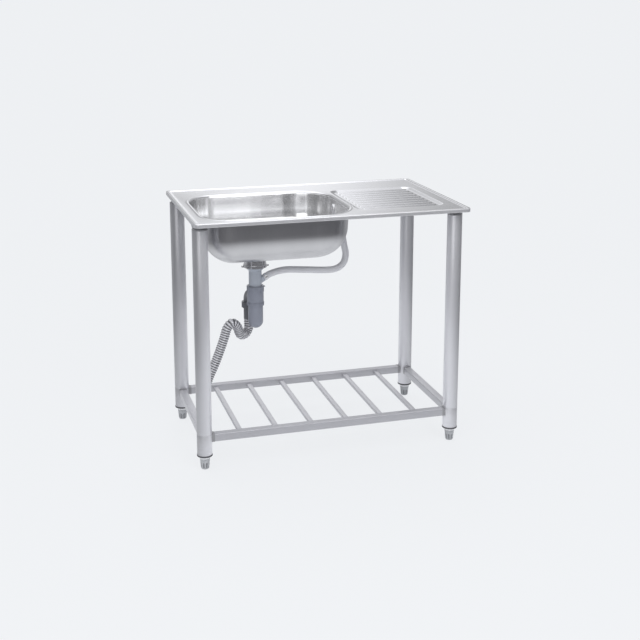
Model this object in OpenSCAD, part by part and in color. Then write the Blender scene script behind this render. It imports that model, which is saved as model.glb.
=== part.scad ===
// Kitchen sink unit: a pressed steel top with one bowl and a ribbed drainer,
// on four round legs with a slatted lower shelf, a bottle trap and two hoses.
// Millimetres. The origin is on the floor under the middle of the top, +Z is
// up, +X runs towards the drainer and -Y is the front.

/* [Top] */
// width of the top, left to right
unit_w = 880; // [760:10:1400]
// depth of the top, front to back
unit_d = 570; // [500:10:700]
// height of the rim above the floor
unit_h = 800; // [700:5:950]
// thickness of the pressed sheet
sheet_t = 1; // [0.6:0.1:1.5]
// outer corner radius of the rim
rim_corner_r = 14; // [6:1:30]
// height of the skirt round the edge
skirt_h = 13; // [8:1:25]
// width of the folded hem under the skirt
hem_w = 7; // [4:1:12]
// height of the raised rim above the deck
bead_h = 3; // [1:0.5:6]
// width of the raised rim
bead_w = 16; // [8:1:24]

/* [Bowl] */
// left edge of the top to the bowl
bowl_left = 45; // [40:1:80]
// width of the bowl at the top
bowl_w = 473; // [340:1:500]
// front edge of the top to the bowl
bowl_front = 40; // [24:1:60]
// length of the bowl, front to back
bowl_l = 405; // [340:1:440]
// deck surface to the bowl floor
bowl_depth = 153; // [120:1:220]
// corner radius on the left of the bowl
bowl_r_left = 100; // [80:1:120]
// corner radius on the right of the bowl
bowl_r_right = 118; // [80:1:130]
// radius between the walls and the floor
bowl_floor_r = 96; // [40:1:98]
// how far the walls lean in before the floor radius
bowl_draft = 3; // [2:1:10]
// radius of the rolled lip at the opening
lip_r = 5; // [3:1:8]

/* [Drainer] */
// bowl to the drainer field
drain_gap = 16; // [12:1:60]
// right edge of the top to the field
drain_right = 50; // [40:1:80]
// front edge of the top to the field
drain_front = 86; // [60:1:110]
// back edge of the top to the field
drain_back = 142; // [100:1:160]
// depth of the field under the deck
drain_depth = 5; // [3:0.5:12]
// width of the sloping step round the field
drain_slope = 14; // [8:1:20]
// corner radius of the field
drain_r = 34; // [20:1:60]
// number of ridges
ridge_count = 9; // [5:1:14]
// width of one ridge
ridge_w = 14; // [8:1:20]
// height of one ridge
ridge_h = 3; // [1:0.5:4]
// step's foot to the ends of the ridges
ridge_end = 8; // [4:1:20]

/* [Legs] */
// outside diameter of a leg
leg_d = 48; // [40:1:60]
// wall of a leg tube
leg_wall = 1.5; // [1:0.1:3]
// side edge of the top to a leg's centre
leg_in_x = 27; // [26:1:60]
// front or back edge of the top to a leg's centre
leg_in_y = 70; // [50:1:90]
// rim to the top end of a leg tube
leg_drop = 32; // [26:1:50]
// depth of a plug or spigot inside a tube
plug_l = 34; // [20:1:60]
// wall of a spigot inside a tube
plug_wall = 2; // [1:0.1:4]
// thickness of the plate under the deck
plate_t = 3; // [2:0.5:5]
// radius of the plate round the leg
plate_r = 20; // [16:1:22]
// reach of the plate towards the front or back edge
plate_reach = 52; // [40:1:56]
// distance between the two studs of a plate
stud_gap = 40; // [30:1:50]
// radius of a welded stud
stud_r = 3; // [2:0.5:4]
// size of a stud nut across its flats
nut_af = 10; // [7:0.5:14]
// thickness of a stud nut
nut_h = 5; // [3:0.5:7]

/* [Shelf] */
// top of the shelf rails above the floor
rail_top = 115; // [100:1:200]
// height and width of a rail
rail_w = 25; // [20:1:40]
// wall of a rail
rail_wall = 1.5; // [1:0.1:3]
// length of the saddle seen between a rail and a leg
saddle_l = 7; // [4:1:20]
// length of a saddle's tongue in the rail
tongue_l = 22; // [10:1:40]
// number of slats
slat_count = 6; // [3:1:6]
// width of a slat
slat_w = 16; // [10:1:25]
// height of a slat
slat_h = 10; // [8:1:20]
// wall of a slat
slat_wall = 1.2; // [0.8:0.1:2]

/* [Feet] */
// bottom end of a leg above the floor
leg_foot = 46; // [40:1:60]
// thickness of the collar ring under a leg
collar_t = 2; // [1:0.5:4]
// overhang of the collar ring past the leg
collar_over = 0.8; // [0.2:0.1:3]
// height of the pale cone under the collar ring
cone_h = 9; // [5:1:15]
// top radius of the pale cone
cone_r = 21; // [18:0.5:24]
// top radius of the bullet foot
foot_r = 16; // [12:0.5:20]
// bottom radius of the bullet foot
foot_tip_r = 12.5; // [8:0.5:16]
// edge radius under the foot
foot_edge = 3; // [1:0.5:5]
// radius of the foot's screw
screw_r = 5; // [4:0.5:8]
// length of the foot's screw that stays in the leg when the foot is screwed out
screw_hold = 38; // [30:1:45]
// number of grip notches round a foot
notch_count = 8; // [4:1:12]
// width and depth of a grip notch
notch_w = 3; // [2:0.5:5]
// height of a grip notch
notch_h = 12; // [6:1:20]
// how far a foot screws out
foot_travel = 20; // [5:1:25]

/* [Waste] */
// waste axis, left or right of the middle of the top
waste_x = -200; // [-260:1:-120]
// waste axis, behind or before the middle of the top
waste_y = -20; // [-80:1:60]
// outer radius of the waste cup
cup_r = 36; // [30:1:45]
// wall of the waste cup
cup_wall = 1.5; // [1:0.1:3]
// bowl's underside to the bottom of the waste cup
cup_drop = 47; // [30:1:60]
// width of the waste cup's rim on the bowl floor
cup_rim = 8; // [5:1:12]
// thickness of the waste cup's rim
cup_rim_t = 2; // [1:0.5:4]
// radius of the waste cup's outlet
outlet_r = 19; // [15:1:24]
// length of the waste cup's outlet
outlet_l = 22; // [10:1:30]
// thickness of the seal under the bowl
seal_t = 3; // [2:0.5:5]
// height of the locking ring
ring_h = 8; // [5:1:14]
// height of the clamp ring round the cup's foot
clamp_h = 9; // [6:1:14]
// thickness of the clamp ring
clamp_t = 3; // [2:0.5:5]
// reach of a clamp ear
ear_l = 6; // [3:1:10]
// width of a clamp ear
ear_w = 9; // [5:1:14]
// gap between the basket and the cup
basket_gap = 2; // [1:0.5:4]
// depth of the basket
basket_h = 30; // [20:1:40]
// wall of the basket
basket_wall = 1; // [0.6:0.1:2]
// radius of a basket hole
hole_r = 2.2; // [1:0.1:4]
// radius of the basket's knob
knob_r = 7; // [4:0.5:10]
// height of the basket's knob and its stem
knob_h = 24; // [10:1:28]
// radius of the knob's stem
stem_r = 3; // [2:0.5:5]

/* [Overflow] */
// overflow centre under the rim
ovf_drop = 42; // [38:1:44]
// back edge of the bowl to the overflow's axis
ovf_in = 140; // [138:1:200]
// radius of the overflow cover
ovf_r = 18; // [16:1:20]
// thickness of the overflow cover
ovf_t = 2; // [1:0.5:4]
// wall of the bowl to the hose's centre at the overflow
ovf_off = 22; // [22:1:40]
// outer radius of the overflow hose
ohose_r = 11; // [8:0.5:14]
// wall of the overflow hose
ohose_wall = 2.5; // [1.5:0.1:4]
// length of a hose end on its spigot
grip_l = 16; // [10:1:30]
// thickness of a hose clip
clip_t = 1; // [0.6:0.1:2]
// width of a hose clip
clip_w = 8; // [5:0.5:12]

/* [Trap] */
// outer radius of the tailpiece
tail_r = 21; // [16:0.5:24]
// wall of the plastic pipes
pipe_wall = 2.2; // [1.5:0.1:4]
// outer radius of the tailpiece's funnel
funnel_r = 28; // [24:0.5:34]
// height of the tailpiece's funnel
funnel_h = 14; // [8:1:20]
// bottom of the waste cup to the overflow branch's root
branch_drop = 61; // [45:1:70]
// slope of the overflow branch
branch_tilt = 30; // [10:1:45]
// length of the overflow branch to the hose
branch_l = 33; // [30:1:45]
// bottom of the waste cup to the top of the trap head
head_drop = 88; // [84:1:110]
// height of the trap head
head_h = 34; // [33:1:50]
// outer radius of the trap head
head_r = 27; // [24:0.5:32]
// height of the union nut over the trap head
union_h = 20; // [14:1:28]
// wall of a union nut
union_wall = 3; // [2:0.5:5]
// number of grip ribs on a union nut
rib_count = 12; // [6:1:20]
// width and height of a grip rib
rib_w = 3; // [2:0.5:5]
// height of the cup nut
cup_nut_h = 12; // [8:1:20]
// outer radius of the trap cup
bottle_r = 24.5; // [20:0.5:28]
// bottom of the waste cup to the bottom of the trap cup
bottle_drop = 212; // [190:1:250]
// outer radius of the outlet bend and pipe
out_r = 16; // [12:0.5:18]
// turn of the outlet from straight back, towards the left
out_turn = 10; // [0:1:40]
// trap axis to the outlet pipe
out_off = 61; // [58:1:75]
// bend radius of the outlet
out_bend = 27; // [24:1:32]
// bottom of the waste cup to the outlet bend's horizontal leg
out_drop = 105; // [100:1:112]
// height of the outlet nut
out_nut_h = 20; // [12:1:26]
// outlet bend's horizontal leg to the middle of the outlet nut
out_nut_drop = 42; // [38:1:50]
// middle of the outlet nut to the step under the outlet pipe
out_pipe_l = 49; // [30:1:60]

/* [Drain hose] */
// outer radius of the ribs
hose_r = 16; // [12:0.5:18]
// radius in the grooves
hose_groove_r = 13.8; // [10:0.1:16]
// radius of the bore
hose_bore_r = 12; // [8:0.5:14]
// distance between ribs
hose_pitch = 8; // [6:0.5:12]
// side edge of the top to the hose's end on the floor
hose_in = 60; // [50:1:120]
// length of the smooth cuff at the top of the hose
cuff_l = 18; // [12:1:30]
// thickness of a hose cuff
cuff_t = 2; // [1:0.5:4]
// length of the cuff at the hose's free end
end_l = 38; // [30:1:60]
// floor to the cuff at the hose's free end
end_lift = 1; // [0.5:0.5:20]
// outer radius of the cuff at the hose's free end
end_r = 20; // [18:0.5:24]

/* [Hidden] */

// facets of the large rounds and of the small ones
fn_big = 64;
fn_small = 32;
// points on a quarter turn of a pressed corner
corner_steps = 8;
// clearance of fitted surfaces
fit = 0.05;
// clearance between bodies that move apart
free_gap = 0.3;
// overrun of the cuts
over = 2;

steel_color = [0.80, 0.80, 0.82];
leg_color = [0.66, 0.66, 0.68];
dark_color = [0.25, 0.25, 0.27];
pale_color = [0.90, 0.90, 0.91];
foot_color = [0.56, 0.57, 0.60];
plastic_color = [0.49, 0.50, 0.55];
hose_color = [0.78, 0.78, 0.80];
chrome_color = [0.86, 0.86, 0.88];

half_w = unit_w / 2;
half_d = unit_d / 2;
deck_z = unit_h - bead_h;
under_z = deck_z - sheet_t;

// plan rectangles as [left, right, front, back] with corner radii
// [front left, front right, back right, back left]
top_box = [-half_w, half_w, -half_d, half_d];
top_radii = [rim_corner_r, rim_corner_r, rim_corner_r, rim_corner_r];
bowl_x0 = bowl_left - half_w;
bowl_x1 = bowl_x0 + bowl_w;
bowl_y0 = bowl_front - half_d;
bowl_box = [bowl_x0, bowl_x1, bowl_y0, bowl_y0 + bowl_l];
bowl_radii = [bowl_r_left, bowl_r_right, bowl_r_right, bowl_r_left];
drain_x0 = bowl_x1 + drain_gap;
drain_x1 = half_w - drain_right;
drain_y0 = drain_front - half_d;
drain_y1 = half_d - drain_back;
drain_box = [drain_x0, drain_x1, drain_y0, drain_y1];
drain_radii = [drain_r, drain_r, drain_r, drain_r];

bowl_top_z = deck_z - lip_r;
bowl_floor_z = deck_z - bowl_depth;
bowl_under_z = bowl_floor_z - sheet_t;

leg_x = half_w - leg_in_x;
leg_y = half_d - leg_in_y;
leg_r = leg_d / 2;
bore_r = leg_r - leg_wall;
leg_top = unit_h - leg_drop;
plate_z = under_z - plate_t;
stud_back = stud_gap / 4;

rail_z = rail_top - rail_w;
rail_half_x = leg_x - leg_r - saddle_l;
rail_half_y = leg_y - leg_r - saddle_l;
slat_pitch = 2 * leg_x / (slat_count + 1);
slat_half = leg_y - rail_w / 2 - fit;

cone_z = leg_foot - collar_t - cone_h;
foot_top = cone_z;
screw_l = screw_hold + foot_travel;

cup_floor = bowl_under_z - cup_drop;
basket_z = bowl_floor_z + cup_rim_t - basket_h;
clamp_z = cup_floor - clamp_h / 2;
tail_top = cup_floor - free_gap;
branch_z = cup_floor - branch_drop;
head_top = cup_floor - head_drop;
bottle_bottom = cup_floor - bottle_drop;
out_z = cup_floor - out_drop;
out_nut_z = out_z - out_nut_drop;
out_end = out_nut_z - out_pipe_l;
head_z = head_top - head_h;
dip_z = bottle_bottom + bottle_r;

ovf_z = unit_h - ovf_drop;
ovf_y = bowl_y0 + bowl_l - ovf_in;
wall_x = bowl_x1;
ohose_bore_r = ohose_r - ohose_wall;
spigot_r = ohose_bore_r - fit;
ovf_x = wall_x + ovf_off;
elbow_bend = ohose_r + over;
ovf_end_z = ovf_z - elbow_bend - grip_l - over;

// the waste axis carries the trap, and the outlet pipe stands behind it
out_dx = -out_off * sin(out_turn);
out_dy = out_off * cos(out_turn);
out_x = waste_x + out_dx;
out_y = waste_y + out_dy;

// the overflow hose, from the overflow to the branch of the tailpiece
branch_dx = cos(branch_tilt);
branch_dz = sin(branch_tilt);
branch_end = [waste_x + branch_l * branch_dx, waste_y, branch_z + branch_l * branch_dz];
branch_dir = [branch_dx, 0, branch_dz];
ovf_exit = [ovf_x, ovf_y, ovf_end_z + grip_l];
ohose_route = [
    ovf_exit,
    [ovf_x, ovf_y, ovf_end_z - ohose_r / 2],
    [wall_x + 36, ovf_y - 2, cup_floor + 41],
    [wall_x + 41, ovf_y - 6, cup_floor + 9],
    [wall_x + 32, ovf_y - 12, cup_floor - 20],
    [wall_x + 7, ovf_y - 18, cup_floor - 36],
    [wall_x - 32, ovf_y - 24, cup_floor - 38],
    [waste_x + 167, waste_y + 6, cup_floor - 29],
    [waste_x + 98, waste_y, cup_floor - 23],
    branch_end + branch_dir * 2 * ohose_r,
    branch_end];

// the drain hose, from the outlet pipe to the floor behind the front left leg
hose_x = hose_in - half_w;
hose_y = 0;
hose_route = [
    [out_x, out_y, out_end],
    [out_x, out_y, out_end - 2 * hose_r],
    [waste_x - 22, waste_y + 54, out_end - 50],
    [waste_x - 43, waste_y + 40, out_end - 48],
    [waste_x - 58, waste_y + 26, out_end - 15],
    [waste_x - 76, waste_y + 18, out_end],
    [waste_x - 93, waste_y + 16, out_end - 16],
    [waste_x - 104, waste_y + 16, out_end - 50],
    [waste_x - 118, waste_y + 17, out_end * 0.775],
    [waste_x - 136, waste_y + 18, out_end * 0.66],
    [hose_x + 24, hose_y - 1, out_end * 0.55],
    [hose_x + 10, hose_y, out_end * 0.44],
    [hose_x + 2, hose_y, out_end * 0.325],
    [hose_x, hose_y, out_end * 0.2],
    [hose_x, hose_y, end_l + cuff_t],
    [hose_x, hose_y, end_lift + cuff_t]];

// a rounded rectangle in plan, drawn in by an inset; radii never fall below least_r
least_r = 6;
function corner_arc(cx, cy, r, from) = [for (i = [0:corner_steps])
    [cx + r * cos(from + 90 * i / corner_steps), cy + r * sin(from + 90 * i / corner_steps)]];
function plan(box, radii, inset) = let (
    r = [for (q = radii) max(q - inset, least_r)],
    x0 = box[0] + inset,
    x1 = box[1] - inset,
    y0 = box[2] + inset,
    y1 = box[3] - inset)
    concat(
        corner_arc(x0 + r[0], y0 + r[0], r[0], 180),
        corner_arc(x1 - r[1], y0 + r[1], r[1], 270),
        corner_arc(x1 - r[2], y1 - r[2], r[2], 0),
        corner_arc(x0 + r[3], y1 - r[3], r[3], 90));

// a smooth line through the route's points
line_steps = 12;
function spline_point(a, b, c, d, t) = 0.5 * (2 * b + (c - a) * t
    + (2 * a - 5 * b + 4 * c - d) * t * t
    + (3 * b - a - 3 * c + d) * t * t * t);
function smooth_line(p) = concat(
    [p[0]],
    [for (i = [1:len(p) - 3], k = [0:line_steps - 1])
        spline_point(p[i - 1], p[i], p[i + 1], p[i + 2], k / line_steps)],
    [p[len(p) - 2], p[len(p) - 1]]);
function run_lengths(p) = [for (i = 0, s = 0; i < len(p);
    s = s + (i + 1 < len(p) ? norm(p[i + 1] - p[i]) : 0), i = i + 1) s];
function point_at(p, runs, s) = [for (axis = [0:2])
    lookup(s, [for (i = [0:len(p) - 1]) [runs[i], p[i][axis]]])];
function unit_of(v) = v / norm(v);
function directions(p) = [for (i = [0:len(p) - 1])
    unit_of(p[min(i + 1, len(p) - 1)] - p[max(i - 1, 0)])];
function side_on(n, t) = unit_of(n - (n * t) * t);
function sides(t, first) = [for (i = 0, n = side_on(first, t[0]); i < len(t);
    n = side_on(n, t[min(i + 1, len(t) - 1)]), i = i + 1) n];
function ring_at(c, t, n, r, count) = let (m = cross(t, n)) [for (j = [0:count - 1])
    c + r * cos(360 * j / count) * n + r * sin(360 * j / count) * m];

// closes a stack of rings with equal counts into one solid
module loft(rings) {
    n = len(rings[0]);
    last = len(rings) - 1;
    points = [for (ring = rings) each ring];
    walls = [for (i = [0:last - 1], j = [0:n - 1])
        [i * n + j, (i + 1) * n + j, (i + 1) * n + (j + 1) % n, i * n + (j + 1) % n]];
    bottom = [for (j = [0:n - 1]) j];
    top = [for (j = [n - 1:-1:0]) last * n + j];
    polyhedron(points, concat([bottom], walls, [top]), convexity = 8);
}

// a press form from [inset, height] pairs, listed from the bottom up
module press_form(box, radii, steps) {
    loft([for (s = steps) [for (p = plan(box, radii, s[0])) [p[0], p[1], s[1]]]]);
}

// a tube of one skin outside and one inside, closed at its ends
module hose_skin(outer, inner) {
    n = len(outer[0]);
    a = len(outer);
    b = len(inner);
    points = concat([for (ring = outer) each ring], [for (ring = inner) each ring]);
    base = a * n;
    skin = [for (i = [0:a - 2], j = [0:n - 1])
        [i * n + j, (i + 1) * n + j, (i + 1) * n + (j + 1) % n, i * n + (j + 1) % n]];
    lining = [for (i = [0:b - 2], j = [0:n - 1])
        [base + i * n + j, base + i * n + (j + 1) % n,
            base + (i + 1) * n + (j + 1) % n, base + (i + 1) * n + j]];
    start = [for (j = [0:n - 1]) [j, (j + 1) % n, base + (j + 1) % n, base + j]];
    end_a = (a - 1) * n;
    end_b = base + (b - 1) * n;
    finish = [for (j = [0:n - 1])
        [end_a + j, end_b + j, end_b + (j + 1) % n, end_a + (j + 1) % n]];
    polyhedron(points, concat(skin, lining, start, finish), convexity = 12);
}

module tube(r, wall, h) {
    difference() {
        cylinder(h = h, r = r, $fn = fn_big);
        translate([0, 0, -over])
            cylinder(h = h + 2 * over, r = r - wall, $fn = fn_big);
    }
}

// places a front left piece at one of the four legs
module at_leg(side, end) {
    translate([side * leg_x, end * leg_y, 0])
        mirror([side > 0 ? 1 : 0, 0, 0])
            mirror([0, end > 0 ? 1 : 0, 0])
                children();
}

// the pressed top: skirt, raised rim, deck, rolled lip and ribbed drainer
module sink_deck() {
    color(steel_color) {
        difference() {
            press_form(top_box, top_radii, [
                [0, unit_h - skirt_h],
                [0, unit_h - bead_h],
                [bead_h / 3, unit_h - bead_h / 3],
                [bead_h, unit_h],
                [bead_w / 2, unit_h],
                [bead_w * 3 / 4, unit_h - bead_h * 2 / 3],
                [bead_w, deck_z]]);
            press_form(top_box, top_radii, [
                [hem_w, unit_h - skirt_h - over],
                [hem_w, unit_h - skirt_h + sheet_t],
                [sheet_t, unit_h - skirt_h + sheet_t],
                [sheet_t, unit_h - bead_h - sheet_t / 2],
                [bead_h, unit_h - sheet_t],
                [bead_w / 2, unit_h - sheet_t],
                [bead_w * 3 / 4, unit_h - sheet_t - bead_h * 2 / 3],
                [bead_w, under_z]]);
            translate([0, 0, under_z - over])
                linear_extrude(bead_h + 2 * over)
                    polygon(plan(bowl_box, bowl_radii, -lip_r));
            translate([0, 0, under_z - over])
                linear_extrude(bead_h + 2 * over)
                    polygon(plan(drain_box, drain_radii, 0));
        }
        bowl_lip();
        drainer();
    }
}

// the deck's edge rolled down into the bowl opening
module bowl_lip() {
    lip_steps = [0:15:90];
    difference() {
        press_form(bowl_box, bowl_radii, concat(
            [[-sheet_t, bowl_top_z]],
            [for (a = [0:15:75])
                [-sheet_t - (lip_r - sheet_t) * (1 - cos(a)),
                    bowl_top_z + (lip_r - sheet_t) * sin(a)]],
            [[-lip_r, under_z], [-lip_r - sheet_t, under_z], [-lip_r - sheet_t, deck_z]]));
        press_form(bowl_box, bowl_radii, concat(
            [[0, bowl_top_z - over]],
            [for (a = lip_steps)
                [-lip_r * (1 - cos(a)), bowl_top_z + lip_r * sin(a)]],
            [[-lip_r, deck_z + over]]));
    }
}

// the sunk field with its sloping step and its ridges
module drainer() {
    floor_z = deck_z - drain_depth;
    inner = drain_slope + sheet_t;
    difference() {
        press_form(drain_box, drain_radii, [
            [drain_slope, floor_z - sheet_t],
            [drain_slope, floor_z - sheet_t / 2],
            [0, under_z],
            [-sheet_t, under_z],
            [-sheet_t, deck_z]]);
        press_form(drain_box, drain_radii, [
            [inner, floor_z],
            [inner - sheet_t / 2, floor_z + sheet_t / 4],
            [sheet_t, deck_z - sheet_t / 4],
            [sheet_t, deck_z + over]]);
    }
    room = drain_y1 - drain_y0 - 2 * inner;
    pitch = room / ridge_count;
    for (i = [0:ridge_count - 1])
        ridge(drain_y0 + inner + pitch * (i + 1 / 2), floor_z);
}

module ridge(y, z) {
    end_in = drain_slope + ridge_end;
    box = [drain_x0 + end_in, drain_x1 - end_in, y - ridge_w / 2, y + ridge_w / 2];
    half = ridge_w / 2;
    loft([for (s = [[0, -sheet_t / 2], [0, 0], [half / 4, ridge_h * 2 / 3], [half / 2, ridge_h]])
        ridge_ring(box, half, s[0], z + s[1])]);
}

function ridge_ring(box, r, inset, z) = let (
    q = r - inset,
    x0 = box[0] + r,
    x1 = box[1] - r,
    y = (box[2] + box[3]) / 2)
    concat(
        [for (i = [0:corner_steps]) [x0 + q * cos(90 + 180 * i / corner_steps),
            y + q * sin(90 + 180 * i / corner_steps), z]],
        [for (i = [0:corner_steps]) [x1 + q * cos(270 + 180 * i / corner_steps),
            y + q * sin(270 + 180 * i / corner_steps), z]]);

// the deep drawn bowl, welded to the lip of the deck
module sink_bowl() {
    turns = [for (a = [0:11.25:90]) a];
    drop = bowl_floor_r;
    color(steel_color)
        difference() {
            press_form(bowl_box, bowl_radii, concat(
                [for (i = [len(turns) - 1:-1:0])
                    [bowl_draft + drop * (1 - cos(turns[i])) - sheet_t * cos(turns[i]),
                        bowl_floor_z + drop - (drop + sheet_t) * sin(turns[i])]],
                [[-sheet_t, bowl_top_z - fit]]));
            press_form(bowl_box, bowl_radii, concat(
                [for (i = [len(turns) - 1:-1:0])
                    [bowl_draft + drop * (1 - cos(turns[i])),
                        bowl_floor_z + drop - drop * sin(turns[i])]],
                [[0, bowl_top_z - fit], [0, bowl_top_z + over]]));
            translate([waste_x, waste_y, bowl_under_z - over])
                cylinder(h = sheet_t + 2 * over, r = cup_r + free_gap, $fn = fn_big);
            translate([wall_x - bowl_draft - ovf_r, ovf_y, ovf_z])
                rotate([0, 90, 0])
                    cylinder(h = 2 * ovf_r, r = ohose_r + free_gap, $fn = fn_small);
        }
}

// the dark socket that joins a leg to the plate under the deck
module leg_socket() {
    color(dark_color)
        difference() {
            union() {
                translate([0, 0, plate_z])
                    linear_extrude(plate_t - fit)
                        difference() {
                            hull() {
                                circle(r = plate_r, $fn = fn_small);
                                translate([-stud_back, -plate_reach])
                                    circle(r = nut_af, $fn = fn_small);
                                translate([stud_gap - stud_back, -plate_reach])
                                    circle(r = nut_af, $fn = fn_small);
                            }
                            translate([-stud_back, -plate_reach])
                                circle(r = stud_r + free_gap, $fn = fn_small);
                            translate([stud_gap - stud_back, -plate_reach])
                                circle(r = stud_r + free_gap, $fn = fn_small);
                        }
                rotate_extrude($fn = fn_big)
                    polygon([
                        [0, leg_top - plug_l],
                        [bore_r - 2 * fit - plug_wall / 2, leg_top - plug_l],
                        [bore_r - 2 * fit, leg_top - plug_l + plug_wall],
                        [bore_r - 2 * fit, leg_top + fit],
                        [leg_r, leg_top + fit],
                        [leg_r, leg_top + plate_t],
                        [plate_r - plug_wall, leg_top + 2 * plate_t],
                        [plate_r - plug_wall, plate_z],
                        [0, plate_z]]);
            }
            translate([0, 0, leg_top - plug_l - over])
                cylinder(h = plug_l, r = bore_r - 2 * plug_wall, $fn = fn_big);
        }
}

module socket_front_left() { at_leg(-1, -1) leg_socket(); }
module socket_front_right() { at_leg(1, -1) leg_socket(); }
module socket_back_left() { at_leg(-1, 1) leg_socket(); }
module socket_back_right() { at_leg(1, 1) leg_socket(); }

// studs welded under the deck with their nuts, two at each socket
module stud_nuts() {
    color(chrome_color)
        for (side = [-1, 1], end = [-1, 1], place = [-stud_back, stud_gap - stud_back])
            at_leg(side, end)
                translate([place, -plate_reach, 0])
                    stud_nut();
}

module stud_nut() {
    translate([0, 0, plate_z - nut_h - stud_r])
        cylinder(h = plate_t + nut_h + stud_r - fit, r = stud_r, $fn = fn_small);
    translate([0, 0, plate_z - nut_h])
        cylinder(h = nut_h - fit, r = nut_af / sqrt(3), $fn = 6);
}

module upper_leg() {
    color(leg_color)
        translate([0, 0, rail_top + fit])
            tube(leg_r, leg_wall, leg_top - rail_top - fit);
}

module leg_front_left() { at_leg(-1, -1) upper_leg(); }
module leg_front_right() { at_leg(1, -1) upper_leg(); }
module leg_back_left() { at_leg(-1, 1) upper_leg(); }
module leg_back_right() { at_leg(1, 1) upper_leg(); }

// the lower leg that carries the rails, with a spigot for the upper leg
module corner_sleeve() {
    color(leg_color)
        rotate_extrude($fn = fn_big)
            polygon([
                [bore_r, leg_foot],
                [leg_r, leg_foot],
                [leg_r, rail_top],
                [bore_r - fit, rail_top],
                [bore_r - fit, rail_top + plug_l],
                [bore_r - fit - plug_wall, rail_top + plug_l],
                [bore_r - fit - plug_wall, rail_top - plug_wall],
                [bore_r, rail_top - 2 * plug_wall]]);
}

module sleeve_front_left() { at_leg(-1, -1) corner_sleeve(); }
module sleeve_front_right() { at_leg(1, -1) corner_sleeve(); }
module sleeve_back_left() { at_leg(-1, 1) corner_sleeve(); }
module sleeve_back_right() { at_leg(1, 1) corner_sleeve(); }

// the threaded insert in the leg's end, with its collar ring and pale cone
module foot_insert() {
    color(pale_color)
        rotate_extrude($fn = fn_big)
            polygon([
                [screw_r + fit, cone_z],
                [foot_r, cone_z],
                [cone_r, cone_z + cone_h],
                [leg_r + collar_over, cone_z + cone_h],
                [leg_r + collar_over, leg_foot - fit],
                [bore_r - fit, leg_foot - fit],
                [bore_r - fit, leg_foot + plug_l * 2 / 3],
                [screw_r + fit, leg_foot + plug_l * 2 / 3]]);
}

module insert_front_left() { at_leg(-1, -1) foot_insert(); }
module insert_front_right() { at_leg(1, -1) foot_insert(); }
module insert_back_left() { at_leg(-1, 1) foot_insert(); }
module insert_back_right() { at_leg(1, 1) foot_insert(); }

// the bullet foot on its screw, with grip notches near the floor
module levelling_foot() {
    color(foot_color)
        difference() {
            rotate_extrude($fn = fn_big)
                polygon([
                    [0, 0],
                    [foot_tip_r - foot_edge, 0],
                    [foot_tip_r - foot_edge / 3, foot_edge / 3],
                    [foot_tip_r, foot_edge],
                    [foot_r, foot_top - foot_edge],
                    [foot_r, foot_top - free_gap],
                    [screw_r, foot_top - free_gap],
                    [screw_r, foot_top + screw_l - screw_r / 3],
                    [screw_r * 2 / 3, foot_top + screw_l],
                    [0, foot_top + screw_l]]);
            for (i = [0:notch_count - 1])
                rotate([0, 0, 360 * i / notch_count])
                    translate([foot_tip_r + notch_w / 3, -notch_w / 2, foot_edge])
                        cube([foot_r, notch_w, notch_h]);
        }
}

module foot_front_left() { at_leg(-1, -1) levelling_foot(); }
module foot_front_right() { at_leg(1, -1) levelling_foot(); }
module foot_back_left() { at_leg(-1, 1) levelling_foot(); }
module foot_back_right() { at_leg(1, 1) levelling_foot(); }

// a square tube lying along X, centred on its length
module square_tube(length, w, h, wall) {
    difference() {
        translate([-length / 2, -w / 2, 0])
            cube([length, w, h]);
        translate([-length / 2 - over, wall - w / 2, wall])
            cube([length + 2 * over, w - 2 * wall, h - 2 * wall]);
    }
}

module cross_rail(end) {
    color(leg_color)
        translate([0, end * leg_y, rail_z])
            square_tube(2 * rail_half_x, rail_w, rail_w, rail_wall);
}

module side_rail(side) {
    color(leg_color)
        translate([side * leg_x, 0, rail_z])
            rotate([0, 0, 90])
                square_tube(2 * rail_half_y, rail_w, rail_w, rail_wall);
}

module rail_front() { cross_rail(-1); }
module rail_back() { cross_rail(1); }
module rail_left() { side_rail(-1); }
module rail_right() { side_rail(1); }

// a coped end piece between a rail and a leg, with a tongue in the rail
module saddle() {
    tongue = rail_w - 2 * rail_wall - 2 * fit;
    difference() {
        union() {
            translate([0, -rail_w / 2, 0])
                cube([leg_r + saddle_l - fit, rail_w, rail_w]);
            translate([leg_r + saddle_l - over, -tongue / 2, rail_wall + fit])
                cube([tongue_l + over, tongue, tongue]);
        }
        translate([0, 0, -over])
            cylinder(h = rail_w + 2 * over, r = leg_r + fit, $fn = fn_big);
    }
}

module rail_saddles() {
    color(dark_color)
        for (side = [-1, 1], end = [-1, 1])
            at_leg(side, end)
                translate([0, 0, rail_z]) {
                    saddle();
                    rotate([0, 0, 90])
                        saddle();
                }
}

module slat(index) {
    color(leg_color)
        translate([index * slat_pitch - leg_x, 0, rail_z + (rail_w - slat_h) / 2])
            rotate([0, 0, 90])
                square_tube(2 * slat_half, slat_w, slat_h, slat_wall);
}

module slat_1() { slat(1); }
module slat_2() { slat(2); }
module slat_3() { slat(3); }
module slat_4() { slat(4); }
module slat_5() { slat(5); }
module slat_6() { slat(6); }

module at_waste() {
    translate([waste_x, waste_y, 0])
        children();
}

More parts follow.
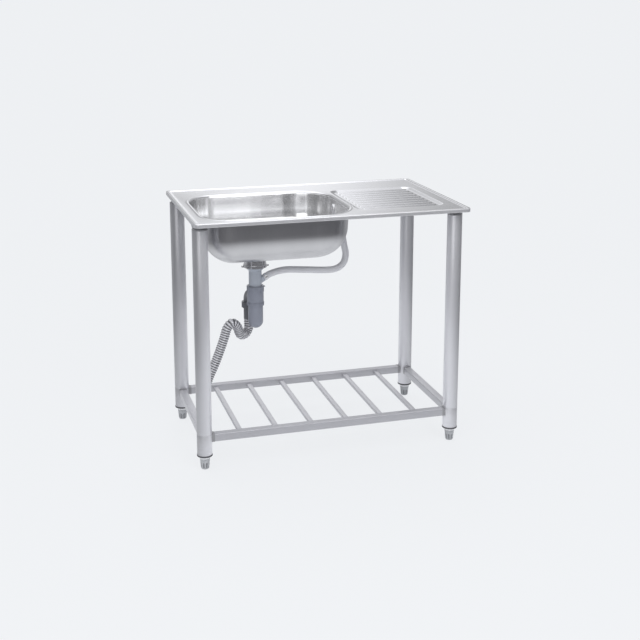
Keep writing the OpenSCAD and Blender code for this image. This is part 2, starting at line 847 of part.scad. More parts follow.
// the waste cup: a rim on the bowl floor, a deep cup and a threaded outlet
module waste_cup() {
    rim_z = bowl_floor_z + fit;
    color(chrome_color)
        at_waste()
            rotate_extrude($fn = fn_big)
                polygon([
                    [cup_r, rim_z],
                    [cup_r + cup_rim, rim_z],
                    [cup_r + cup_rim, rim_z + cup_rim_t / 2],
                    [cup_r + cup_rim / 2, rim_z + cup_rim_t],
                    [cup_r - cup_wall, rim_z + cup_rim_t],
                    [cup_r - cup_wall, cup_floor + cup_wall],
                    [outlet_r - pipe_wall, cup_floor + cup_wall],
                    [outlet_r - pipe_wall, cup_floor - outlet_l],
                    [outlet_r, cup_floor - outlet_l],
                    [outlet_r, cup_floor],
                    [cup_r, cup_floor]]);
}

module ring(r_in, r_out, z, h) {
    translate([0, 0, z])
        difference() {
            cylinder(h = h, r = r_out, $fn = fn_big);
            translate([0, 0, -over])
                cylinder(h = h + 2 * over, r = r_in, $fn = fn_big);
        }
}

module waste_seal() {
    color(dark_color)
        at_waste()
            ring(cup_r + fit, cup_r + cup_rim, bowl_under_z - fit - seal_t, seal_t);
}

module waste_lock_ring() {
    color(plastic_color)
        at_waste() {
            ring(cup_r + fit, cup_r + cup_rim, bowl_under_z - 2 * fit - seal_t - ring_h, ring_h);
            for (i = [0:rib_count - 1])
                rotate([0, 0, 360 * i / rib_count])
                    translate([cup_r + cup_rim - rib_w / 3, -rib_w / 2,
                        bowl_under_z - 2 * fit - seal_t - ring_h])
                        cube([rib_w, rib_w, ring_h]);
        }
}

// the clamp round the cup's foot, with an ear on each side
module waste_clamp() {
    color(chrome_color)
        at_waste()
            difference() {
                union() {
                    translate([0, 0, clamp_z])
                        cylinder(h = clamp_h, r = cup_r + clamp_t, $fn = fn_big);
                    for (side = [0, 180])
                        rotate([0, 0, side])
                            translate([cup_r, -ear_w / 2, clamp_z])
                                cube([clamp_t + ear_l, ear_w, clamp_h / 2]);
                }
                translate([0, 0, cup_floor - fit])
                    cylinder(h = clamp_h, r = cup_r + fit, $fn = fn_big);
                translate([0, 0, clamp_z - over])
                    cylinder(h = clamp_h + 2 * over, r = funnel_r + free_gap, $fn = fn_big);
            }
}

// the lift-out strainer basket with its knob
module strainer_basket() {
    r = cup_r - cup_wall - basket_gap;
    top = bowl_floor_z + fit + cup_rim_t + free_gap;
    rows = [r / 3, r * 2 / 3];
    color(chrome_color)
        at_waste() {
            difference() {
                rotate_extrude($fn = fn_big)
                    polygon([
                        [0, basket_z],
                        [r - 2 * basket_wall, basket_z],
                        [r, basket_z + 2 * basket_wall],
                        [r, top],
                        [cup_r + cup_rim / 4, top],
                        [cup_r + cup_rim / 4, top + basket_wall],
                        [r - basket_wall, top + basket_wall],
                        [r - basket_wall, basket_z + 3 * basket_wall],
                        [r - 3 * basket_wall, basket_z + basket_wall],
                        [0, basket_z + basket_wall]]);
                for (row = [0, 1])
                    for (i = [0:6 * (row + 1) - 1])
                        rotate([0, 0, 360 * i / (6 * (row + 1))])
                            translate([rows[row], 0, basket_z - over])
                                cylinder(h = basket_wall + 2 * over, r = hole_r, $fn = 16);
                for (i = [0:rib_count - 1])
                    rotate([0, 0, 360 * i / rib_count])
                        translate([r - 2 * over, 0, basket_z + basket_h / 2])
                            rotate([0, 90, 0])
                                cylinder(h = 4 * over, r = hole_r, $fn = 16);
            }
            rotate_extrude($fn = fn_small)
                polygon([
                    [0, basket_z + basket_wall / 2],
                    [stem_r, basket_z + basket_wall / 2],
                    [stem_r, basket_z + knob_h * 2 / 3],
                    [knob_r, basket_z + knob_h * 3 / 4],
                    [knob_r, basket_z + knob_h],
                    [knob_r / 2, basket_z + knob_h + basket_wall],
                    [0, basket_z + knob_h + basket_wall]]);
        }
}

// where the wall of the bowl stands at the overflow's height, and its lean
wall_rise = bowl_top_z - bowl_floor_z - bowl_floor_r;
ovf_wall_x = wall_x - bowl_draft * (bowl_top_z - ovf_z) / wall_rise;
wall_lean = atan(bowl_draft / wall_rise);

module at_overflow(lean = wall_lean) {
    translate([ovf_wall_x, ovf_y, ovf_z])
        rotate([0, 90 + lean, 0])
            children();
}

// the round cover inside the bowl, with slots round its screw
module overflow_cover() {
    color(chrome_color)
        at_overflow()
            difference() {
                translate([0, 0, -free_gap - 2 * ovf_t])
                    rotate_extrude($fn = fn_big)
                        polygon([
                            [0, ovf_t / 2],
                            [ovf_r - ovf_t, ovf_t / 2],
                            [ovf_r - ovf_t, 2 * ovf_t - free_gap],
                            [ovf_r, 2 * ovf_t - free_gap],
                            [ovf_r, ovf_t / 2],
                            [ovf_r - ovf_t, -ovf_t / 2],
                            [0, -ovf_t / 2]]);
                translate([0, 0, -4 * ovf_t])
                    cylinder(h = 8 * ovf_t, r = stem_r + fit, $fn = fn_small);
                for (i = [0:5])
                    rotate([0, 0, 60 * i])
                        translate([ovf_r / 2, -hole_r, -4 * ovf_t])
                            cube([ovf_r / 4, 2 * hole_r, 8 * ovf_t]);
            }
}

module overflow_seal() {
    color(dark_color)
        at_overflow()
            translate([0, 0, sheet_t + free_gap])
                difference() {
                    cylinder(h = seal_t, r = ovf_r, $fn = fn_big);
                    translate([0, 0, -over])
                        cylinder(h = seal_t + 2 * over, r = ohose_r, $fn = fn_big);
                }
}

// the elbow behind the bowl wall, with a spigot down into the hose
module overflow_elbow() {
    flange_z = sheet_t + 2 * free_gap + seal_t;
    reach = ovf_x - ovf_wall_x - elbow_bend;
    inner = spigot_r - ohose_wall / 2;
    drop_z = ovf_z - elbow_bend;
    color(plastic_color) {
        difference() {
            union() {
                at_overflow()
                    translate([0, 0, flange_z])
                        cylinder(h = seal_t, r = ovf_r, $fn = fn_big);
                at_overflow(0)
                    translate([0, 0, flange_z + seal_t / 2])
                        cylinder(h = reach - flange_z - seal_t / 2, r = ohose_r, $fn = fn_small);
            }
            at_overflow(0)
                translate([0, 0, flange_z - over])
                    cylinder(h = reach, r = inner, $fn = fn_small);
        }
        translate([ovf_x - elbow_bend, ovf_y, drop_z])
            rotate([90, 0, 0])
                rotate_extrude(angle = 90, $fn = fn_big)
                    translate([elbow_bend, 0])
                        difference() {
                            circle(r = ohose_r, $fn = fn_small);
                            circle(r = inner, $fn = fn_small);
                        }
        translate([ovf_x, ovf_y, 0])
            rotate_extrude($fn = fn_small)
                polygon([
                    [inner, ovf_end_z],
                    [spigot_r, ovf_end_z],
                    [spigot_r, ovf_end_z + grip_l + fit],
                    [ohose_r, ovf_end_z + grip_l + fit],
                    [ohose_r, drop_z],
                    [inner, drop_z]]);
    }
}

// the screw that pulls the cover and the elbow's cross bar together
module overflow_screw() {
    color(chrome_color)
        at_overflow() {
            translate([0, 0, -2 * ovf_t - free_gap - ovf_t / 2 - fit - stem_r / 2])
                cylinder(h = stem_r / 2, r = 2 * stem_r, $fn = fn_small);
            translate([0, 0, -2 * ovf_t - free_gap - ovf_t / 2 - fit - stem_r / 4])
                cylinder(h = 4 * ovf_t + seal_t, r = stem_r, $fn = fn_small);
        }
}

// the smooth hose, held at both ends
module overflow_hose() {
    line = smooth_line(ohose_route);
    runs = run_lengths(line);
    total = runs[len(runs) - 1];
    count = 56;
    spots = [for (i = [0:count]) point_at(line, runs, total * i / count)];
    t = directions(spots);
    n = sides(t, [0, 1, 0]);
    color(hose_color)
        hose_skin(
            [for (i = [0:count]) ring_at(spots[i], t[i], n[i], ohose_r, 16)],
            [for (i = [0:count]) ring_at(spots[i], t[i], n[i], ohose_ring_r, 16)]);
}
// the sixteen-sided bore keeps its flats clear of the round spigots in it
ohose_ring_r = (ohose_bore_r + fit) / cos(180 / 16);

module hose_clips() {
    color(chrome_color) {
        translate([ovf_x, ovf_y, ovf_end_z + grip_l - 2 * clip_w])
            ring(ohose_r + fit, ohose_r + fit + clip_t, clip_w / 2, clip_w);
        translate(branch_end)
            rotate([0, 90 - branch_tilt, 0])
                ring(ohose_r + fit, ohose_r + fit + clip_t, clip_w / 2, clip_w);
    }
}

// the pipe under the waste, with a funnel and the overflow branch
module tailpiece() {
    neck_z = tail_top - funnel_h;
    bottom = head_top - head_h / 2;
    color(plastic_color)
        difference() {
            union() {
                at_waste()
                    rotate_extrude($fn = fn_big)
                        polygon([
                            [0, bottom],
                            [tail_r, bottom],
                            [tail_r, neck_z - funnel_h / 4],
                            [funnel_r, neck_z + funnel_h / 4],
                            [funnel_r, tail_top],
                            [0, tail_top]]);
                translate([waste_x, waste_y, branch_z])
                    rotate([0, 90 - branch_tilt, 0]) {
                        cylinder(h = branch_l - fit, r = ohose_r, $fn = fn_small);
                        cylinder(h = branch_l + grip_l, r = spigot_r, $fn = fn_small);
                    }
            }
            at_waste() {
                translate([0, 0, bottom - over])
                    cylinder(h = tail_top - bottom + 2 * over, r = outlet_r - pipe_wall, $fn = fn_big);
                translate([0, 0, neck_z - outlet_l / 2])
                    cylinder(h = tail_top - neck_z + outlet_l, r = outlet_r + fit, $fn = fn_big);
            }
            translate([waste_x, waste_y, branch_z])
                rotate([0, 90 - branch_tilt, 0])
                    cylinder(h = branch_l + grip_l + over, r = spigot_r - ohose_wall / 2, $fn = fn_small);
        }
}

// a ribbed union nut standing on z, open above and below
module union_nut(r_in, r_out, z, h) {
    difference() {
        union() {
            translate([0, 0, z])
                cylinder(h = h, r = r_out, $fn = fn_big);
            translate([0, 0, z + h * 3 / 4])
                cylinder(h = h / 8, r = r_out + rib_w / 2, $fn = fn_big);
            for (i = [0:rib_count - 1])
                rotate([0, 0, 360 * i / rib_count])
                    translate([r_out - rib_w / 2, -rib_w / 2, z])
                        cube([rib_w, rib_w, h * 3 / 4]);
        }
        translate([0, 0, z - over])
            cylinder(h = h + 2 * over, r = r_in, $fn = fn_big);
    }
}

// the nut that holds the tailpiece in the trap head, with a finger lug
module tail_nut() {
    color(plastic_color)
        at_waste()
            difference() {
                union() {
                    union_nut(tail_r + fit, head_r, head_top + fit, union_h);
                    translate([head_r - rib_w, -rib_w, head_top + union_h * 2 / 3])
                        cube([2 * rib_w + over, 2 * rib_w, rib_w]);
                }
                translate([0, 0, head_top - over])
                    cylinder(h = union_h + 2 * over, r = tail_r + fit, $fn = fn_big);
            }
}

module at_outlet() {
    translate([out_x, out_y, 0])
        children();
}

// the trap head: a socket above, a dip tube below and the outlet behind
module trap_head() {
    stub = out_off - out_bend;
    socket_z = head_top - head_h / 2;
    color(plastic_color)
        difference() {
            union() {
                at_waste() {
                    translate([0, 0, head_z])
                        cylinder(h = head_h, r = head_r, $fn = fn_big);
                    translate([0, 0, dip_z])
                        cylinder(h = head_z - dip_z, r = out_r, $fn = fn_small);
                }
                translate([waste_x, waste_y, out_z])
                    rotate([-90, 0, out_turn])
                        cylinder(h = stub - fit, r = out_r, $fn = fn_small);
            }
            at_waste() {
                translate([0, 0, socket_z - fit])
                    cylinder(h = head_h, r = tail_r + fit, $fn = fn_big);
                translate([0, 0, dip_z - over])
                    cylinder(h = head_h + head_z - dip_z, r = out_r - pipe_wall, $fn = fn_small);
            }
            translate([waste_x, waste_y, out_z])
                rotate([-90, 0, out_turn])
                    translate([0, 0, tail_r + pipe_wall])
                        cylinder(h = stub, r = out_r - pipe_wall, $fn = fn_small);
        }
}

module trap_seal() {
    color(dark_color)
        at_waste()
            ring(out_r + free_gap, bottle_r - pipe_wall - free_gap, head_z - seal_t - fit, seal_t);
}

// the cup that is taken off to clean the trap
module trap_cup() {
    top = head_z - free_gap;
    knee = bottle_bottom + bottle_r;
    inner_r = bottle_r - pipe_wall;
    color(plastic_color)
        at_waste()
            rotate_extrude($fn = fn_big)
                polygon(concat(
                    [for (a = [-90:10:0]) [bottle_r * cos(a), knee + bottle_r * sin(a)]],
                    [[bottle_r, top], [inner_r, top]],
                    [for (a = [0:-10:-90]) [inner_r * cos(a), knee + inner_r * sin(a)]]));
}

module cup_nut() {
    color(plastic_color)
        at_waste()
            union_nut(bottle_r + fit, head_r - fit, head_z - free_gap - cup_nut_h, cup_nut_h);
}

// the bend from the trap head down to the outlet pipe
module outlet_bend() {
    stub = out_off - out_bend;
    inner = out_r - pipe_wall;
    leg_end = out_nut_z;
    color(plastic_color)
        translate([waste_x, waste_y, out_z])
            rotate([0, 0, out_turn])
                translate([0, stub + fit, -out_bend]) {
                    rotate([90, 0, 90])
                        rotate_extrude(angle = 90, $fn = fn_big)
                            translate([out_bend, 0])
                                difference() {
                                    circle(r = out_r, $fn = fn_small);
                                    circle(r = inner, $fn = fn_small);
                                }
                    translate([0, out_bend, leg_end - out_z + out_bend])
                        tube(out_r, pipe_wall, out_z - out_bend - leg_end + fit);
                }
}

module outlet_nut() {
    color(plastic_color)
        at_outlet()
            union_nut(out_r + 2 * fit, out_r + union_wall + pipe_wall, out_nut_z - out_nut_h / 2, out_nut_h);
}

// the straight pipe under the bend, stepped down into the hose
module outlet_pipe() {
    step_r = hose_bore_r - fit;
    color(plastic_color)
        at_outlet()
            rotate_extrude($fn = fn_big)
                polygon([
                    [out_r - pipe_wall, out_nut_z - fit],
                    [out_r, out_nut_z - fit],
                    [out_r, out_end + fit],
                    [step_r, out_end + fit],
                    [step_r, out_end - cuff_l],
                    [step_r - pipe_wall, out_end - cuff_l],
                    [step_r - pipe_wall, out_end + pipe_wall],
                    [out_r - pipe_wall, out_end + 2 * pipe_wall]]);
}

// the corrugated hose: a rib is two rings wide, with one ring in the groove after it
module drain_hose() {
    line = smooth_line(hose_route);
    runs = run_lengths(line);
    total = runs[len(runs) - 1];
    ribs = floor(total / hose_pitch);
    marks = concat(
        [0],
        [for (i = [0:ribs - 1], share = rib_shares) (i + share) * hose_pitch],
        [total]);
    spots = [for (s = marks) point_at(line, runs, s)];
    t = directions(spots);
    n = sides(t, [1, 0, 0]);
    last = len(marks) - 1;
    radii = [for (i = [0:last]) (i == last || i % len(rib_shares) == 0) ? hose_groove_r : hose_r];
    bore_marks = [for (i = [0:4:last - 3]) i];
    color(hose_color)
        hose_skin(
            [for (i = [0:last]) ring_at(spots[i], t[i], n[i], radii[i], 8)],
            concat(
                [for (i = bore_marks) ring_at(spots[i], t[i], n[i], bore_ring_r, 8)],
                [ring_at(spots[last], t[last], n[last], bore_ring_r, 8)]));
}
// the two edges of a rib and the groove after it, in shares of the pitch
rib_shares = [0.2, 0.6, 0.9];
// the eight-sided bore keeps its flats clear of the round pipe in it
bore_ring_r = (hose_bore_r + fit) / cos(180 / 8);

// the cuff that pushes into the waste pipe in the floor
module hose_end_cuff() {
    tip = hose_route[len(hose_route) - 1];
    color(dark_color)
        translate([tip[0], tip[1], tip[2] - cuff_t])
            difference() {
                rotate_extrude($fn = fn_big)
                    polygon([
                        [0, 0],
                        [end_r - cuff_t, 0],
                        [end_r, cuff_t],
                        [end_r, end_l - cuff_t],
                        [end_r - cuff_t / 2, end_l],
                        [0, end_l]]);
                translate([0, 0, cuff_t - fit])
                    cylinder(h = end_l, r = hose_r + fit, $fn = fn_big);
                translate([0, 0, -over])
                    cylinder(h = end_l, r = hose_bore_r, $fn = fn_big);
            }
}

sink_deck();
sink_bowl();
socket_front_left();
socket_front_right();
socket_back_left();
socket_back_right();
stud_nuts();
leg_front_left();
leg_front_right();
leg_back_left();
leg_back_right();
sleeve_front_left();
sleeve_front_right();
sleeve_back_left();
sleeve_back_right();
insert_front_left();
insert_front_right();
insert_back_left();
insert_back_right();
foot_front_left();
foot_front_right();
foot_back_left();
foot_back_right();
rail_front();
rail_back();
rail_left();
rail_right();
rail_saddles();
slat_1();
slat_2();
slat_3();
slat_4();
slat_5();
slat_6();
waste_cup();
waste_seal();
waste_lock_ring();
waste_clamp();
strainer_basket();
overflow_cover();
overflow_seal();
overflow_elbow();
overflow_screw();
overflow_hose();
hose_clips();
tailpiece();
tail_nut();
trap_head();
trap_seal();
trap_cup();
cup_nut();
outlet_bend();
outlet_nut();
outlet_pipe();
drain_hose();
hose_end_cuff();
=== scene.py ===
"""Kitchen sink unit: pressed steel top, round legs, slatted shelf, trap and hoses.

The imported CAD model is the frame. A size is in metres, or in millimetres where its
name ends in mm. +X runs towards the drainer, -Y is the front and the floor is at z = 0.
"""
import logging
import math
from dataclasses import dataclass, field, replace
from enum import Enum
from typing import Callable, Iterable, Sequence

import bmesh
import bpy
from mathutils import Matrix, Vector


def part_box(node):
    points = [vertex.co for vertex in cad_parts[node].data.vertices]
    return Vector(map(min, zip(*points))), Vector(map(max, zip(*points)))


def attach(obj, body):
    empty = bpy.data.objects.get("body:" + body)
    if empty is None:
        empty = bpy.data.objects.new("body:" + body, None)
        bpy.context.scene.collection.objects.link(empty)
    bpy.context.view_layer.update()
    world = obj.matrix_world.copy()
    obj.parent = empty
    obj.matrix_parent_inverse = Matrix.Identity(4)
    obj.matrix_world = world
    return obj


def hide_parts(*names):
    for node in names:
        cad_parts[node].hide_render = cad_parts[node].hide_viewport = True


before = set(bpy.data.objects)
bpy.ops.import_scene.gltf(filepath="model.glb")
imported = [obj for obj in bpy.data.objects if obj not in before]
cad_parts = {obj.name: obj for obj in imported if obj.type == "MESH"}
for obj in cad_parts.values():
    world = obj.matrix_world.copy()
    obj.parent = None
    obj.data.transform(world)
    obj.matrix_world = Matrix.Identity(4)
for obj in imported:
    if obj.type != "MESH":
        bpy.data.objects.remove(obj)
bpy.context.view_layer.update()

LOG = logging.getLogger("sink_unit")
MM = 0.001
MERGE = 1e-6
QUARTER = math.pi / 2
SHARP = math.radians(38)
CORNER_STEPS = 14
LEG_LOW, LEG_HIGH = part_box("leg_front_right")
LEG_X = (LEG_LOW[0] + LEG_HIGH[0]) / 2
LEG_R = (LEG_HIGH[0] - LEG_LOW[0]) / 2

Pair = tuple[float, float]
Triple = tuple[float, float, float]
Profile = tuple[Pair, ...]
Loop = list[bmesh.types.BMEdge]
Spots = list[bmesh.types.BMVert]


class Body(Enum):
    """The CAD bodies that pieces ride on."""

    FRAME = "frame"
    BASKET = "basket"
    CUP = "cup"


class Corner(Enum):
    """The four legs, as the ends of their CAD nodes' names."""

    FRONT_LEFT = "front_left"
    FRONT_RIGHT = "front_right"
    BACK_LEFT = "back_left"
    BACK_RIGHT = "back_right"


class Socket:
    """One shader output that takes part in Python expressions."""

    def __init__(self, bench: "Bench", link: bpy.types.NodeSocket) -> None:
        """Wraps a socket.

        Args:
            bench: The material's node bench.
            link: The output socket.
        """
        self.bench = bench
        self.link = link

    def _math(self, operation: str, first: "Socket | float", second: "Socket | float") -> "Socket":
        """Adds a Math node.

        Args:
            operation: The node's operation.
            first: The first value or socket.
            second: The second value or socket.

        Returns:
            The node's output.
        """
        return self.bench.node("ShaderNodeMath", {"operation": operation}, {0: first, 1: second})

    def __add__(self, other: "Socket | float") -> "Socket":
        """Returns self + other."""
        return self._math("ADD", self, other)

    __radd__ = __add__

    def __mul__(self, other: "Socket | float") -> "Socket":
        """Returns self * other."""
        return self._math("MULTIPLY", self, other)

    __rmul__ = __mul__

    def __sub__(self, other: "Socket | float") -> "Socket":
        """Returns self - other."""
        return self._math("SUBTRACT", self, other)

    def __rsub__(self, other: "Socket | float") -> "Socket":
        """Returns other - self."""
        return self._math("SUBTRACT", other, self)

    def __abs__(self) -> "Socket":
        """Returns self without its sign."""
        return self.bench.node("ShaderNodeMath", {"operation": "ABSOLUTE"}, {0: self})


class Bench:
    """The node tree of one material or world, with one way to add nodes."""

    def __init__(self, tree: bpy.types.NodeTree) -> None:
        """Clears the tree.

        Args:
            tree: The node tree to fill.
        """
        self.tree = tree
        tree.nodes.clear()

    def node(self, kind: str, settings: dict | None = None, values: dict | None = None,
             out: int | str = 0) -> Socket:
        """Adds one node.

        Args:
            kind: The node's type name.
            settings: Attributes set first.
            values: Values or sockets for the node's inputs, by name or index.
            out: The name or index of the output to return.

        Returns:
            The chosen output.
        """
        made = self.tree.nodes.new(kind)
        for name, value in (settings or {}).items():
            setattr(made, name, value)
        for name, value in (values or {}).items():
            if isinstance(value, Socket):
                self.tree.links.new(value.link, made.inputs[name])
            else:
                made.inputs[name].default_value = value
        return Socket(self, made.outputs[out])

    def axis(self, name: str, space: str = "Object") -> Socket:
        """Returns one coordinate of a point, or of a direction in a world's Generated space."""
        place = self.node("ShaderNodeTexCoord", out=space)
        return self.node("ShaderNodeSeparateXYZ", {}, {0: place}, out=name)

    def noise(self, scale: Sequence[float], detail: float = 3.0) -> Socket:
        """Spreads noise over the object.

        Args:
            scale: The noise's fineness along each axis.
            detail: How many finer layers it has.

        Returns:
            The noise, from 0 to 1.
        """
        place = self.node("ShaderNodeTexCoord", out="Object")
        spread = self.node("ShaderNodeMapping", {}, {"Vector": place, "Scale": tuple(scale)})
        return self.node("ShaderNodeTexNoise", {}, {"Vector": spread, "Scale": 1.0, "Detail": detail},
                         out="Fac")

    def blend(self, factor: Socket, low: "Socket | Sequence[float]",
              high: "Socket | Sequence[float]") -> Socket:
        """Returns a colour between two colours, each a triple or a socket."""
        ends = [color if isinstance(color, Socket) else (*color, 1.0) for color in (low, high)]
        return self.node("ShaderNodeMix", {"data_type": "RGBA"}, {0: factor, 6: ends[0], 7: ends[1]}, out=2)

    def ramp(self, value: Socket, start: float, end: float) -> Socket:
        """Returns a soft step from 0 at the start to 1 at the end."""
        return self.node("ShaderNodeMapRange", {"interpolation_type": "SMOOTHSTEP"},
                         {"Value": value, "From Min": start, "From Max": end}, out="Result")

    def bump(self, height: Socket, distance: float) -> Socket:
        """Returns a normal raised by a height."""
        return self.node("ShaderNodeBump", {}, {"Height": height, "Distance": distance, "Strength": 1.0})

    def output(self, surface: Socket, kind: str = "ShaderNodeOutputMaterial") -> None:
        """Joins a shader to the tree's output."""
        last = self.tree.nodes.new(kind)
        self.tree.links.new(surface.link, last.inputs["Surface"])


@dataclass(frozen=True)
class PaintedShading:
    """Where shade is painted on the legs and dark reflections are painted in the bowl. A pair is a soft
    step's (start, end) in metres.
    """

    leg_heights: Pair = (0.1, 0.8)
    leg_gain: float = 0.2
    bowl_end: Pair = (-0.345, -0.372)
    band_left: Pair = (-0.067, -0.053)
    band_right: Pair = (-0.011, -0.027)
    bowl_corner: Pair = (0.015, 0.045)
    corner_share: float = 0.45
    bowl_back: Pair = (0.05, 0.13)
    back_share: float = 0.75

    def leg(self, bench: Bench) -> Socket:
        """Masks the painted shade on a leg's outer side, more of it towards the top.

        Args:
            bench: The material's node bench.

        Returns:
            The mask, 1 where the leg is darkest.
        """
        across = (abs(bench.axis("X")) - LEG_X) * (0.5 / LEG_R) + 0.5
        return across + bench.ramp(bench.axis("Z"), *self.leg_heights) * self.leg_gain

    def bowl(self, bench: Bench) -> Socket:
        """Masks the painted dark reflections at the bowl's left end and in its back wall.

        Args:
            bench: The material's node bench.

        Returns:
            The mask, 1 where the bowl is darkest.
        """
        x = bench.axis("X")
        band = bench.ramp(x, *self.band_left) * bench.ramp(x, *self.band_right)
        corner = bench.ramp(x, *self.bowl_corner) * self.corner_share
        back_wall = bench.ramp(bench.axis("Y"), *self.bowl_back) * self.back_share
        return bench.ramp(x, *self.bowl_end) + back_wall * (band + corner)


@dataclass(frozen=True)
class Finish:
    """One finish: a base colour that varies softly over a plain shader.

    Each shade is a share of the colour: where it is worn, and where shade is painted:
    on the drainer's slopes and in a hose's grooves, on a leg's outer side and as dark
    reflections in the bowl. A zero leaves the three painted shades out. Where
    streaks is set, a step of twice that width takes the wear from the cloud alone.
    """

    name: str
    slot: str
    color: Triple
    shade: float = 0.92
    metallic: float = 0.0
    rough: Pair = (0.4, 0.5)
    cloud: Triple = (9.0, 9.0, 9.0)
    grain: Triple = (900.0, 900.0, 900.0)
    grain_depth: float = 0.00002
    coat: float = 0.0
    groove_shade: float = 0.0
    painted_leg_shade: float = 0.0
    streaks: float = 0.0
    painted_reflection_shade: float = 0.0
    cloud_share: float = 0.7

    def darker(self, share: float) -> tuple[float, ...]:
        """Returns the colour times a share."""
        return tuple(channel * share for channel in self.color)

    def tone(self, bench: Bench, cloud: Socket, grain: Socket) -> Socket:
        """Mixes the colour with its wear and its painted shades.

        Args:
            bench: The material's node bench.
            cloud: The wide noise.
            grain: The fine noise.

        Returns:
            The base colour.
        """
        wear = cloud * self.cloud_share + grain * (1 - self.cloud_share)
        if self.streaks:
            wear = bench.ramp(cloud, 0.5 - self.streaks, 0.5 + self.streaks)
        tone = bench.blend(wear, self.darker(self.shade), self.color)
        # Painted shade: darker on the drainer's slopes and in a corrugated hose's grooves.
        if self.groove_shade:
            depth = bench.node("ShaderNodeAttribute", {"attribute_name": "groove"}, out="Fac")
            tone = bench.blend(depth, tone, self.darker(self.groove_shade))
        # Painted shade: a leg's outer side and its upper part are darker.
        if self.painted_leg_shade:
            tone = bench.blend(PaintedShading().leg(bench), tone, self.darker(self.painted_leg_shade))
        # Painted reflections: dark bands at the bowl's left end and in its back wall.
        if self.painted_reflection_shade:
            tone = bench.blend(PaintedShading().bowl(bench), tone, self.darker(self.painted_reflection_shade))
        return tone

    def material(self) -> bpy.types.Material:
        """Builds the material once.

        Returns:
            The material, also on every later call.
        """
        known = bpy.data.materials.get(self.name)
        if known:
            return known
        made = bpy.data.materials.new(self.name)
        made.use_nodes = True
        bench = Bench(made.node_tree)
        cloud = bench.noise(self.cloud)
        grain = bench.noise(self.grain, detail=2.0)
        low, high = self.rough
        shader = bench.node("ShaderNodeBsdfPrincipled", {}, {
            "Base Color": self.tone(bench, cloud, grain),
            "Roughness": (cloud + grain) * ((high - low) / 2) + low,
            "Metallic": self.metallic,
            "Coat Weight": self.coat,
            "Normal": bench.bump(grain, self.grain_depth)})
        bench.output(shader)
        made.diffuse_color = (*self.color, 1.0)
        return made


# The deck's colour carries painted shade on the drainer's slopes.
DECK_STEEL = Finish("deck steel, lengthwise polish, painted slope shade", "bright_steel", (0.80, 0.80, 0.82), 0.97, 1.0,
                    (0.17, 0.24), (4.0, 9.0, 9.0), (14.0, 700.0, 700.0), 0.000002, groove_shade=0.65)
# The bowl's colour carries painted dark reflections at its left end and in its back wall.
BOWL_STEEL = Finish("drawn bowl steel, painted reflections", "bright_steel", (0.99, 0.99, 1.0), 0.80, 0.8,
                    (0.12, 0.19), (10.0, 10.0, 0.3), (700.0, 700.0, 60.0), 0.000002,
                    streaks=0.13, painted_reflection_shade=0.42)
# The bowl's outer face: rougher for its dull finish, and darker as painted shade under the deck.
SHADED_SHELL_STEEL = Finish("bowl steel, dull outer face, painted shade", "bright_steel", (0.76, 0.76, 0.78), 0.74, 1.0,
                     (0.26, 0.36), (16.0, 16.0, 0.6), (700.0, 700.0, 60.0), 0.000003)
RIM_STEEL = Finish("rim steel, softly brushed", "bright_steel", (0.73, 0.73, 0.75), 0.94, 0.6,
                   (0.28, 0.40), (5.0, 9.0, 9.0), (14.0, 1100.0, 1100.0), 0.000008)
# The leg tube's colour carries painted shade on its outer side and towards the top.
TUBE_STEEL = Finish("satin leg tube, painted shade", "frame_steel", (0.86, 0.86, 0.90), 0.96, 0.5,
                    (0.32, 0.40), (12.0, 12.0, 3.0), (900.0, 900.0, 30.0), 0.000005, painted_leg_shade=0.50)
RAIL_STEEL = Finish("satin rail tube", "frame_steel", (0.51, 0.51, 0.54), 0.93, 0.55,
                    (0.38, 0.48), (4.0, 4.0, 12.0), (40.0, 900.0, 900.0), 0.00001)
SLAT_STEEL = Finish("satin slat tube", "frame_steel", (0.63, 0.63, 0.66), 0.93, 0.55,
                    (0.38, 0.48), (12.0, 4.0, 12.0), (900.0, 40.0, 900.0), 0.00001)
# Painted shade: the sockets under the top and the rail saddles are darkened for the shadow at these joints.
SHADED_JOINT_STEEL = Finish("joint steel, painted shade", "dark_fittings", (0.34, 0.34, 0.355), 0.9, 0.3, (0.4, 0.5))
# Painted shadow: the dark ring where the sleeve meets the foot's insert.
SHADOW_LINE_FITTING = Finish("dark fitting, painted shadow line", "dark_fittings", (0.09, 0.09, 0.10), 0.85, 0.0, (0.45, 0.6))
# Painted shade in the foot's dents.
SHADED_DENT_PLASTIC = Finish("shaded foot plastic", "foot_plastic", (0.29, 0.295, 0.31), 0.85, 0.0, (0.45, 0.6))
PALE_PLASTIC = Finish("pale moulded plastic", "pale_plastic", (0.80, 0.80, 0.81), 0.95, 0.0, (0.35, 0.45))
FOOT_PLASTIC = Finish("grey foot plastic", "foot_plastic", (0.50, 0.51, 0.53), 0.88, 0.0, (0.4, 0.5))
TRAP_PLASTIC = Finish("blue-grey trap plastic", "trap_plastic", (0.26, 0.275, 0.33), 0.9, 0.0,
                      (0.3, 0.42), (20.0, 20.0, 20.0), (1200.0, 1200.0, 1200.0), 0.00001, 0.15)
TAIL_PLASTIC = replace(TRAP_PLASTIC, name="pale blue-grey tail plastic", color=(0.42, 0.45, 0.51))
BEND_PLASTIC = replace(TRAP_PLASTIC, name="dark grey bend plastic", color=(0.15, 0.155, 0.175))
HOSE_PLASTIC = Finish("light grey hose plastic", "hose_plastic", (0.66, 0.66, 0.69), 0.9, 0.0,
                      (0.3, 0.4), (25.0, 25.0, 25.0), (1500.0, 1500.0, 1500.0), 0.00001, 0.2)
